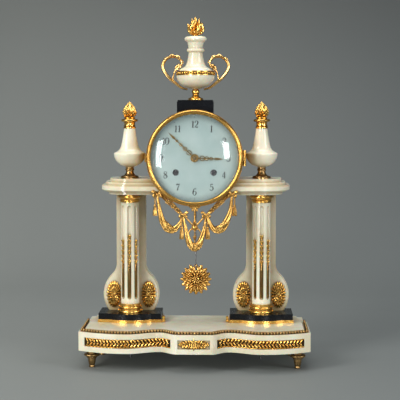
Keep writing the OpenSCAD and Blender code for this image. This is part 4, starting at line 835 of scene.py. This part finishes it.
def make_pinecones():
    """Two closed cones of lapped scales, each on a moulded collar."""
    bm = bmesh.new()
    collar = 16.0
    body = CONE_H - collar
    profile = dressed([
        (0, 0), (9.9, 0), (9.9, 2), (8.6, 2.4), (8.8, 3), (10.2, 3.6), (8.8, 4.4), (8.5, 7.8), (9.6, 8.8), (8.7, 9.6),
        (9, 10.4), (12.4, 10.9), (13.7, 12.9), (12.6, 14.7), (8, 15.4), (8.6, 16.2), (9.4, 18), (0, 18.2),
    ], 0.35, 3)
    for x in (-COLUMN_X, COLUMN_X):
        foot = Matrix.Translation((x, COLUMN_Y, CONE_Z))
        turned(bm, profile, foot, 48)

        def radius(t):
            return CONE_R * math.sin(math.pi * (t * 0.94 + 0.03) ** 0.72) ** 0.75

        core = [(0, collar + 0.5)] + [(max(0.2, radius(t / 20) - 1.8), collar + body * t / 20) for t in range(1, 20)]
        turned(bm, core + [(0, collar + body - 1.2)], foot, 24)
        for i in range(CONE_SCALES):
            t = 0.02 + 0.9 * (i / CONE_SCALES) ** 0.94
            a = i * math.radians(GOLDEN_TURN)
            rise = (radius(min(0.99, t + 0.03)) - radius(t)) / (0.03 * body)
            out = Vector((math.cos(a), math.sin(a), 0))
            heading = Vector((out.x * rise, out.y * rise, 1))
            face = out - heading * (out.dot(heading) / heading.length_squared)
            root = foot @ (out * (radius(t) - 1.7) + Vector((0, 0, collar + body * t)))
            size = 0.55 + 0.45 * radius(t) / CONE_R
            petal(bm, along(root, heading, face), 6.6 * size, 5.6 * size, 2.0 * size, lift=1.5, cup=-0.5, ribs=1,
                  rib=0.25, full=0.75, sides=8, rings=6)
        ball(bm, foot @ Matrix.Translation((0, 0, CONE_H - 1.3)), 1.3, 8, 6)
    new_piece(bm, "cones", carved, "case", ["pinecones"])


# Vases.

VASE_Z, VASE_FOOT, VASE_WIDE, VASE_RIM = 313.1, 6.6, 25.5, 21.0


def make_vases():
    """Two marble vases: a shallow round bowl with a thin lip, and a concave neck."""
    bm = bmesh.new()
    profile = [(0, 0), (VASE_FOOT, 0)]
    for k in range(1, 15):
        z = VASE_RIM * (k / 14) ** 1.6
        r = VASE_WIDE * math.sqrt(1 - ((VASE_RIM - z) / VASE_RIM) ** 2)
        if r > VASE_FOOT:
            profile.append((r, z))
    lip = [(VASE_WIDE, VASE_RIM + 1.6), (VASE_WIDE - 0.8, VASE_RIM + 2.5)]
    neck = smooth_line([(r, z, 0) for r, z in (
        (22.4, 24.6), (19, 26.6), (16.2, 29.4), (14.1, 34), (12.8, 39.5), (11.4, 47), (10.2, 54), (9.3, 61.3),
    )], 4)
    profile += lip + [(v.x, v.y) for v in neck] + [(9.6, 62.5), (0, 62.5)]
    for x in (-COLUMN_X, COLUMN_X):
        turned(bm, profile, Matrix.Translation((x, COLUMN_Y, VASE_Z)), 72)
    new_piece(bm, "vase_bodies", white_marble, "case", ["vase_left", "vase_right"])


# Rods and husks in the flutes.

SHAFT_Z, SHAFT_R, FLUTE_R = 93.2, 14.75, 3.3
HUSK_H, ROD_TOP, FLUTE_LOW = 8.2, 54.0, 11.0


def make_husks():
    """Smooth rods with chains of bell husks above them, in the three front flutes of each column."""
    bm, dark = bmesh.new(), bmesh.new()
    husk_r = FLUTE_R - 0.7
    for x in (-COLUMN_X, COLUMN_X):
        for turn, count in ((-45, 5), (0, 6), (45, 5)):
            a = math.radians(turn - 90)
            away = SHAFT_R + 0.6 - FLUTE_R + husk_r
            foot = Matrix.Translation((x + away * math.cos(a), COLUMN_Y + away * math.sin(a), SHAFT_Z + FLUTE_LOW))
            rod = [(0, 0), (husk_r - 0.5, 0), (husk_r - 0.5, ROD_TOP - 2), (husk_r - 1.1, ROD_TOP - 1), (0, ROD_TOP)]
            turned(dark, dressed(rod, 0.3, 2), foot, 20)
            for i in range(count):
                up = ROD_TOP - 1.4 + i * HUSK_H
                ball(bm, foot @ Matrix.Translation((0, 0, up + 0.7)), 0.95, 8, 6)
                for k in range(5):
                    b = a + math.radians((k - 2) * 50)
                    out = Vector((math.cos(b), math.sin(b), 0))
                    root = foot @ Vector((0.1 * out.x, 0.1 * out.y, up + 0.9))
                    petal(bm, along(root, out * 0.34 + Vector((0, 0, 1)), out), 7.2, 3.1, 1.4, lift=0.8, cup=-0.3,
                          full=0.8, sides=8, rings=6)
    # The rods take the darkened gilding: painted shade of the flutes.
    new_piece(dark, "flute_rods", painted_shade_rod_gilding, "case", ["flute_husks"])
    new_piece(bm, "husk_chains", carved, "case", ["flute_husks"])


# Handles of the urn.

URN_Y, URN_Z, FLAME_Z, FLAME_H = 21.0, 438.5, 522.5, 31.5
# Line of a handle from the bowl up and round, as (across, up, radius).
HANDLE = (
    (-13, -0.6, 1.2), (-23, 2.6, 1.6), (-34, 11, 2.0), (-43, 18.5, 2.1), (-50, 28, 2.1), (-53, 36.5, 2.0),
    (-50.6, 44, 1.9), (-45, 49.6, 1.8), (-37.7, 52.4, 2.0), (-29.4, 50.9, 1.9), (-24, 45.8, 1.6), (-23, 39.6, 1.5),
    (-27.4, 34.4, 1.8), (-32.4, 30.3, 1.6),
)


def make_handles():
    """Two scrolled handles with leaves along the back and a bud where each turns in."""
    bm = bmesh.new()
    for side in (-1, 1):
        def at(x, z, y=0.0):
            return Vector((-side * x, URN_Y + y, URN_Z + z))

        path = smooth_line([at(x, z) for x, z, _ in HANDLE], 5)
        radii = smooth_radii([r for _, _, r in HANDLE], 5)
        tube(bm, path, [r * 1.3 for r in radii], 12, 0.85)
        for y in (-1.1, 1.1):
            rib = [p + Vector((0, y * 1.3, 0)) for p in path[8:58]]
            tube(bm, rib, [r * 0.55 for r in radii[8:58]], 8)
        stem = smooth_line([at(-32.4, 30.3), at(-34.6, 25), at(-35.9, 19), at(-36.4, 13.4)], 4)
        tube(bm, stem, [1.5, 1.4, 1.3, 1.2, 1.1, 1.0, 1.0, 1.0, 1.1, 1.1, 1.2, 1.3, 1.4], 10)
        ball(bm, Matrix.Translation(at(-27.2, 38.2)), 2.7, 14, 10)
        tube(bm, smooth_line([at(-32.4, 30.3), at(-31.6, 34.6), at(-29, 37.4), at(-27.2, 38.2)], 4),
             [1.5 + 0.04 * k for k in range(13)], 10)
        leaves = ((60, 6, 3.4), (55, 7, 4), (49, 8, 4.4), (43, 8, 4.4), (37, 8, 4), (30, 8, 3.6))
        for index, reach, wide in leaves:
            place, ahead = path[index], path[index + 2]
            middle = at(-37, 34)
            out = (place - middle).normalized()
            for y in (-1, 0, 1):
                face = (out + Vector((0, y * 0.9, 0))).normalized()
                root = place + face * radii[index]
                petal(bm, along(root, (ahead - place).normalized(), face), reach, wide, 2.4,
                      lift=0.1, cup=-0.7, ribs=1, rib=0.3, full=1.0, sides=8, rings=7)
    new_piece(bm, "handle_scrolls", handle_gilding, "case", ["urn_handles"])


# Flame of the urn.

def make_flame():
    """A flame of curling tongues rising from a small cup of leaves."""
    bm = bmesh.new()
    foot = Matrix.Translation((0, URN_Y, FLAME_Z))
    turned(bm, dressed([(0, -1), (4.6, -1), (4.8, 1.2), (3.4, 2.6), (4.4, 4.4), (6.6, 6.2), (6, 9), (0, 10)], 0.6, 3),
           foot, 32)
    rings = (
        (5, 0, ((2.8, 0, 3.2, 2.0), (8.4, 0.4, 6.6, 3.6), (11.2, 2.4, 11.8, 3.5), (9.6, 5.4, 17.2, 2.5),
                (10.6, 6.4, 20.4, 1.1), (12.2, 5.6, 21.8, 0.3))),
        (4, 40, ((2.0, 0, 7.0, 2.6), (5.6, 1.2, 12.6, 3.7), (5.8, 3.4, 19.0, 2.8), (3.4, 4.4, 24.0, 1.8),
                 (3.6, 4.4, 26.6, 0.8), (4.8, 3.8, 28.0, 0.25))),
        (2, 10, ((0.8, 0, 12.0, 3.0), (2.8, 1.2, 18.0, 3.4), (2.0, 2.2, 24.0, 2.3), (0.8, 1.2, 28.0, 1.2),
                 (0.4, 0, 31.2, 0.3))),
    )
    for count, begin, shape in rings:
        for i in range(count):
            grow = 1 + 0.05 * math.sin(i * 2.4)
            turn = foot @ Matrix.Rotation(math.radians(begin + i * 360 / count), 4, "Z")
            line = smooth_line([turn @ Vector((x, y, min(z * grow, FLAME_H - 0.3))) for x, y, z, _ in shape], 4)
            tube(bm, line, [max(0.2, r) for r in smooth_radii([r for *_, r in shape], 4)], 10, 0.75)
    for i in range(9):
        a = math.radians(i * 40)
        out = Vector((math.cos(a), math.sin(a), 0))
        petal(bm, along(foot @ (out * 3.2 + Vector((0, 0, 2.6))), out * 0.8 + Vector((0, 0, 1)), out), 6.4, 3.8, 1.3,
              lift=0.9, cup=-0.4, sides=8, rings=6)
    new_piece(bm, "flame", carved, "case", ["flame_finial"])


# Garland.

KNOT, OUTER, KNOB_Z = (-18.2, -89.6), (-58.7, -57.2), -109.5
OUTER_SAG, CENTRE_SAG, SWAG_THICK = 37.0, 50.5, 6.0
STRAP_RADII, STRAP_BACK, STRAP_FRONT = (72.1, 74.7), -21.6, -27.4


def hang(a, b, sag, steps, lean):
    """Line of a swag between two points of the dial's plane."""
    out = []
    for i in range(steps + 1):
        t = i / steps
        u = abs(2 * t - 1)
        out.append(Vector((
            a[0] + (b[0] - a[0]) * (t**lean - 0.02 * math.sin(2 * math.pi * t)),
            GARLAND_Y,
            DRUM_Z + a[1] + (b[1] - a[1]) * t - sag * (1 - u**2.3),
        )))
    return out


def blossom(bm, point, size, turn=0.0, petals=5):
    """A small open flower that faces the front."""
    centre = upright(*point) @ Matrix.Rotation(turn, 4, "Z")
    for i in range(petals):
        petal(bm, centre @ spun(i * 360 / petals, 0.15 * size, 0, 0), size, size * 0.85, size * 0.4,
              lift=0.12 * size, cup=0.16 * size, ribs=1, rib=0.05 * size, full=0.9, sides=8, rings=6)
    ball(bm, centre @ Matrix.Translation((0, 0, 0.28 * size)), size * 0.27, 8, 6)


def festoon(bm, a, b, sag, thick, lean=1.0):
    """A swag of two twisted strands at its ends and of leaves and flowers where it hangs lowest."""
    steps = 44
    line = hang(a, b, sag, steps, lean)
    for strand in range(3):
        points, radii = [], []
        for i, p in enumerate(line):
            t = i / steps
            swell = math.sin(math.pi * t) ** 1.3
            ahead = (line[min(i + 1, steps)] - line[max(i - 1, 0)]).normalized()
            side = Vector((0, 1, 0)).cross(ahead)
            turn = strand * 2 * math.pi / 3 + t * 7
            reach = 0.9 + swell * thick * 0.42
            points.append(p + side * reach * math.cos(turn) + Vector((0, reach * 0.7 * math.sin(turn), 0)))
            radii.append(1.15 + swell * thick * 0.36)
        tube(bm, points, radii, 9)
    for i in range(8, steps - 7):
        t = i / steps
        swell = math.sin(math.pi * t) ** 1.3
        ahead = (line[i + 1] - line[i - 1]).normalized()
        down = 1 if t < 0.5 else -1
        side = Vector((0, 1, 0)).cross(ahead)
        for k in (-1, 1):
            face = (Vector((0, -1, 0)) + side * k * 0.9).normalized()
            root = line[i] + side * k * thick * 0.5 * swell + Vector((0, -thick * 0.34 * swell, 0))
            heading = ahead * down + side * k * 0.55 + face * 0.25
            petal(bm, along(root, heading, face), 2.6 + 3.4 * swell, 1.5 + 2.0 * swell, 0.9, lift=0.5, cup=-0.3,
                  ribs=1, rib=0.14, full=0.5, sides=8, rings=6)
    for k, (at, off, size) in enumerate((
        (0.5, 0.0, 1.0), (0.4, 0.5, 0.8), (0.6, -0.4, 0.82), (0.32, -0.3, 0.66), (0.68, 0.35, 0.66),
        (0.46, -0.9, 0.6), (0.55, 0.9, 0.6),
    )):
        i = round(at * steps)
        ahead = (line[i + 1] - line[i - 1]).normalized()
        side = Vector((0, 1, 0)).cross(ahead)
        point = line[i] + side * off * thick * 0.6 + Vector((0, -thick * 0.72, 0))
        blossom(bm, point, 3.3 * size, k * 0.9, 5)


def hang_tassel(bm, x, z, length):
    """A cord with a turned knot and a fringed skirt."""
    top = Vector((x, GARLAND_Y, DRUM_Z + z))
    tube(bm, [top, top - Vector((0, 0, length * 0.25)), top - Vector((0, 0, length * 0.5))], [1.2, 1.0, 1.1], 8)
    ball(bm, Matrix.Translation(top - Vector((0, 0, length * 0.5))), 2.5, 10, 8, 0.8)
    for i in range(10):
        a = 2 * math.pi * i / 10
        out = Vector((math.cos(a), math.sin(a), 0))
        start = top - Vector((0, 0, length * 0.52)) + out * 1.2
        end = top - Vector((0, 0, length)) + out * 3.1
        middle = (start + end) / 2 + out * 0.35
        tube(bm, smooth_line([start, middle, end], 3), [0.6, 0.75, 0.9, 0.95, 0.95, 0.9, 0.8], 6)
    turned(bm, [(0, -length + 0.6), (2.4, -length + 0.6), (1.6, -length * 0.55), (0, -length * 0.5)],
           Matrix.Translation(top), 16)


def bow(bm, point, size):
    """Two loops and a knot, facing the front."""
    centre = upright(*point)
    for side in (-1, 1):
        for lean, reach in ((0.5, 1.0), (-0.35, 0.8)):
            loop = [(0, 0, 0), (0.6, 0.25 + lean * 0.4, 0.2), (1.1 * reach, lean, 0.3),
                    (0.9 * reach, lean * 1.5, 0.2), (0.35, lean * 0.7, 0.1), (0, 0, 0)]
            points = smooth_line([centre @ Vector((side * x * size, y * size, z * size)) for x, y, z in loop], 4)
            last = len(points) - 1
            tube(bm, points, [size * (0.13 + 0.12 * math.sin(math.pi * i / last)) for i in range(last + 1)], 8)
    ball(bm, centre, size * 0.32, 10, 8)


def make_garland():
    """Bronze under the drum: strap, three swags, bows, leafy branches, tassels and the pierced centre."""
    bm = bmesh.new()
    inner, outer = STRAP_RADII
    steps, spread_out = 40, math.radians(35)
    rail = []
    for i in range(steps + 1):
        a = -math.pi / 2 - spread_out + 2 * spread_out * i / steps
        rail.append((math.cos(a), math.sin(a)))
    start = [bm.verts.new((c * inner, STRAP_BACK, DRUM_Z + s * inner)) for c, s in rail]
    edges = [bm.edges.new(pair) for pair in zip(start, start[1:])]
    moved = bmesh.ops.extrude_edge_only(bm, edges=edges)["geom"]
    for v, (c, s) in zip(sorted(corners(moved), key=lambda v: v.co.x), sorted(rail)):
        v.co = (c * outer, STRAP_BACK, DRUM_Z + s * outer)
    flat = bmesh.ops.extrude_face_region(bm, geom=bm.faces[:])["geom"]
    bmesh.ops.translate(bm, vec=(0, STRAP_FRONT - STRAP_BACK, 0), verts=corners(flat))
    middle = (inner + outer) / 2
    for c, s in rail[2:-2:2]:
        ball(bm, Matrix.Translation((c * middle, STRAP_FRONT + 0.1, DRUM_Z + s * middle)), 1.0, 8, 6)

    def point(x, z, forward=0.0):
        return Vector((x, GARLAND_Y - forward, DRUM_Z + z))

    for side in (-1, 1):
        a, b = (side * -OUTER[0], OUTER[1]), (side * -KNOT[0], KNOT[1])
        festoon(bm, a, b, OUTER_SAG, SWAG_THICK, 1.25)
        bow(bm, point(*a, 2.4), 7.0)
        bow(bm, point(*b, 2.8), 6.6)
        bar = [point(side * 41.5, -63), point(side * 30, -76.5), point(*b), point(0, KNOB_Z)]
        tube(bm, bar, [1.4, 1.3, 1.3, 1.3], 8)
        branch = smooth_line([point(*a), point(side * 50, -61), point(side * 41, -70, 1), point(side * 30, -80, 1),
                              point(*b)], 5)
        tube(bm, branch, [0.9] * len(branch), 8)
        tube(bm, [point(side * 50, -61), point(side * 45, -62.2), point(side * 41.5, -63)], [1.2, 1.3, 1.4], 8)
        for i in range(2, len(branch) - 3):
            ahead = (branch[i + 1] - branch[i - 1]).normalized()
            for k in (-1, 1):
                lean = ahead + Vector((0, 1, 0)).cross(ahead) * k * 1.1 + Vector((0, -0.3, 0))
                petal(bm, along(branch[i], lean, (0, -1, 0)), 4.4, 2.5, 1.3, lift=0.5, cup=-0.4, ribs=1, rib=0.2,
                      full=0.5, sides=8, rings=6)
        for x, z in ((27, -82), (34, -76), (42.5, -69.5)):
            blossom(bm, point(side * x, z, 2.0), 3.6, x)
        tube(bm, [point(*a), point(side * 61, -59), point(side * 62.6, -61)], [1.3, 1.1, 0.9], 8)
        hang_tassel(bm, side * 62.6, -60, 31)
        hang_tassel(bm, side * 20.4, -92, 36)
        arm = smooth_line([point(0, KNOB_Z), point(side * 4, KNOB_Z - 1.6), point(side * 8, KNOB_Z - 5.6),
                           point(side * 11.5, -122)], 4)
        tube(bm, arm, [1.2 - 0.02 * k for k in range(len(arm))], 8)
    festoon(bm, KNOT, (-KNOT[0], KNOT[1]), CENTRE_SAG, SWAG_THICK)

    tube(bm, [point(0, -73.5), point(0, -86), point(0, -98), point(0, KNOB_Z)], [2.4, 1.7, 1.6, 2.0], 10)
    for turn, length, rise in ((0, 9, -80), (30, 9.5, -79), (-30, 9.5, -79), (62, 8.5, -78), (-62, 8.5, -78)):
        place = upright(0, GARLAND_Y - 1.2, DRUM_Z + rise + 3) @ spun(turn - 90)
        petal(bm, place, length, 4.0, 1.4, lift=1.0, cup=-0.5, ribs=1, rib=0.2, full=0.6, sides=10, rings=8)
    for side in (-1, 1):
        place = upright(0, GARLAND_Y - 0.8, DRUM_Z - 80) @ spun(90 - side * 68)
        petal(bm, place, 10.5, 3.8, 1.5, lift=1.2, cup=-0.4, ribs=1, rib=0.2, full=0.7, sides=10, rings=8)
    for turn in (-18, 18, 0):
        place = upright(0, GARLAND_Y - 1.4, DRUM_Z - 97) @ spun(turn - 90)
        petal(bm, place, 8, 2.6, 1.2, lift=0.8, cup=-0.3, ribs=1, rib=0.15, sides=8, rings=7)
    hub = upright(0, GARLAND_Y - 1.5, DRUM_Z + KNOB_Z)
    knob = [(0, -3), (3.6, -3), (4.8, -1), (4.8, 0.8), (3.6, 2.2), (3.2, 3.2), (0, 4.6)]
    turned(bm, dressed(knob, 0.9, 3), hub, 32)
    for i in range(10):
        ball(bm, hub @ spun(i * 36, 4.4, 0, 1.2), 0.8, 8, 6)
    tube(bm, [point(0, KNOB_Z - 3), point(0, -122), point(0, -134), point(0, -142)], [0.9, 0.9, 1.0, 1.2], 8)
    for turn in range(0, 360, 60):
        a = math.radians(turn)
        out = Vector((math.cos(a), math.sin(a), 0))
        petal(bm, along(point(0, -130) + out * 0.4, out * 0.3 + Vector((0, 0, 1)), out), 7.5, 3.0, 1.2, lift=0.3,
              cup=-0.4, full=0.45, sides=8, rings=6)
    new_piece(bm, "swags", bob_gilding, "case", ["garland"])


# Glass of the dial.

GLASS_R, GLASS_RISE, GLASS_THICK = 68.0, 6.0, 1.5


def make_dome():
    """Domed glass, flat in the middle and steeper towards the bezel."""
    bm = bmesh.new()
    outer = [(GLASS_R * k / 40, GLASS_THICK + GLASS_RISE * (1 - (k / 40) ** 3.6)) for k in range(41)]
    inner = [(r, z - GLASS_THICK) for r, z in reversed(outer)]
    turned(bm, outer + inner, upright(0, GLASS_BACK, DRUM_Z), 120)
    new_piece(bm, "glass_dome", glass, "bezel", ["bezel_glass"], 60)


# Figures of the dial.

# Strokes of each figure as (across, up, width), in parts of its height.
FIGURES = {
    "0": [[(0, 1, 0.05), (-0.21, 0.86, 0.1), (-0.28, 0.5, 0.16), (-0.21, 0.14, 0.1), (0, 0, 0.05), (0.21, 0.14, 0.1),
           (0.28, 0.5, 0.16), (0.21, 0.86, 0.1), (0, 1, 0.05)]],
    "1": [[(0, 0.03, 0.15), (0, 0.5, 0.15), (0, 0.96, 0.13)], [(-0.01, 0.97, 0.05), (-0.18, 0.83, 0.05)],
          [(-0.18, 0.02, 0.05), (0.18, 0.02, 0.05)]],
    "2": [[(-0.21, 0.74, 0.14), (-0.19, 0.89, 0.07), (-0.01, 0.99, 0.06), (0.2, 0.89, 0.11), (0.24, 0.69, 0.15),
           (0.12, 0.47, 0.12), (-0.12, 0.23, 0.07), (-0.27, 0.05, 0.05)],
          [(-0.27, 0.06, 0.05), (-0.1, 0.1, 0.1), (0.1, 0.04, 0.12), (0.23, 0.05, 0.08), (0.28, 0.22, 0.04)]],
    "3": [[(-0.21, 0.8, 0.13), (-0.14, 0.95, 0.06), (0.02, 0.99, 0.05), (0.2, 0.88, 0.12), (0.17, 0.67, 0.12),
           (-0.04, 0.55, 0.05)],
          [(-0.04, 0.55, 0.05), (0.19, 0.47, 0.1), (0.26, 0.26, 0.15), (0.14, 0.06, 0.09), (-0.06, 0, 0.05),
           (-0.21, 0.07, 0.07), (-0.23, 0.2, 0.13)]],
    "4": [[(0.11, 0.02, 0.15), (0.11, 0.5, 0.14), (0.11, 0.97, 0.11)], [(0.1, 0.97, 0.05), (-0.29, 0.28, 0.05)],
          [(-0.29, 0.27, 0.06), (0.3, 0.27, 0.06)], [(-0.04, 0.02, 0.05), (0.26, 0.02, 0.05)]],
    "5": [[(-0.17, 0.94, 0.09), (0.05, 0.93, 0.11), (0.23, 0.97, 0.05)], [(-0.17, 0.94, 0.05), (-0.2, 0.55, 0.05)],
          [(-0.2, 0.55, 0.05), (-0.02, 0.62, 0.06), (0.2, 0.52, 0.12), (0.26, 0.3, 0.16), (0.15, 0.08, 0.1),
           (-0.04, 0, 0.05), (-0.19, 0.06, 0.07), (-0.23, 0.18, 0.13)]],
    "6": [[(0.2, 0.86, 0.13), (0.1, 0.98, 0.06), (-0.08, 0.94, 0.07), (-0.22, 0.7, 0.12), (-0.27, 0.38, 0.16),
           (-0.18, 0.1, 0.1), (0, 0, 0.05), (0.18, 0.1, 0.11), (0.25, 0.3, 0.15), (0.17, 0.5, 0.1),
           (0, 0.58, 0.05), (-0.17, 0.5, 0.05), (-0.24, 0.36, 0.05)]],
    "7": [[(-0.25, 0.78, 0.05), (-0.22, 0.94, 0.1), (0, 0.92, 0.12), (0.26, 0.96, 0.05)],
          [(0.26, 0.95, 0.05), (0.1, 0.6, 0.08), (0, 0.3, 0.13), (-0.02, 0.03, 0.16)]],
    "8": [[(0, 1, 0.05), (-0.2, 0.9, 0.1), (-0.2, 0.7, 0.12), (0, 0.54, 0.14), (0.22, 0.36, 0.14), (0.24, 0.13, 0.1),
           (0, 0, 0.05), (-0.24, 0.12, 0.08), (-0.24, 0.34, 0.08), (0, 0.54, 0.05), (0.18, 0.7, 0.07),
           (0.19, 0.9, 0.07), (0, 1, 0.05)]],
}
FIGURES["9"] = [[(-x, 1 - y, w) for x, y, w in stroke] for stroke in FIGURES["6"]]


def draw_figures(bm, text, size, place):
    """Adds upright figures with thick and thin strokes, centred, as flat solids."""
    flat = bmesh.new()
    for index, figure in enumerate(text):
        shift = (index - (len(text) - 1) / 2) * 0.56
        for stroke in FIGURES[figure]:
            line = stroke if len(stroke) == 2 else [
                (v.x, v.y, v.z) for v in smooth_line([(x, y, w) for x, y, w in stroke], 4)
            ]
            points = [((x + shift + 0.06 * (y - 0.5)) * size, (y - 0.5) * size, 0) for x, y, _ in line]
            tube(flat, points, [max(w * 1.25, 0.075) / 2 * size for *_, w in line], 10)
    bmesh.ops.transform(flat, matrix=place @ Matrix.Diagonal((0.9, 1, 0.05, 1)), verts=flat.verts)
    pour(flat, bm)


FIGURE_RING, FIGURE_H, MINUTE_RING = 53.0, 10.6, 64.2


def make_dial_marks():
    """Upright hour figures and a minute track, as thin solids on the enamel."""
    bm = bmesh.new()
    face = upright(0, DIAL_FRONT - 0.02, DRUM_Z)
    for hour in range(1, 13):
        a = math.radians(90 - hour * 30)
        place = face @ Matrix.Translation((FIGURE_RING * math.cos(a), FIGURE_RING * math.sin(a), 0))
        draw_figures(bm, str(hour), FIGURE_H, place)
    for minute in range(60):
        a = math.radians(minute * 6)
        length, wide = (2.2, 0.5) if minute % 5 == 0 else (1.3, 0.28)
        place = face @ Matrix.Rotation(a, 4, "Z") @ Matrix.Translation((MINUTE_RING, 0, 0))
        bmesh.ops.create_cube(bm, size=1.0, matrix=place @ Matrix.Diagonal((length, wide, 0.08, 1)))
    new_piece(bm, "dial_figures", black_enamel, "case", angle=30)


# All the pieces.
make_bob()
make_rosettes()
make_frieze(1, "frieze_right")
make_frieze(-1, "frieze_left")
make_medallion()
make_beads()
make_pinecones()
make_vases()
make_husks()
make_handles()
make_flame()
make_garland()
make_dome()
make_dial_marks()
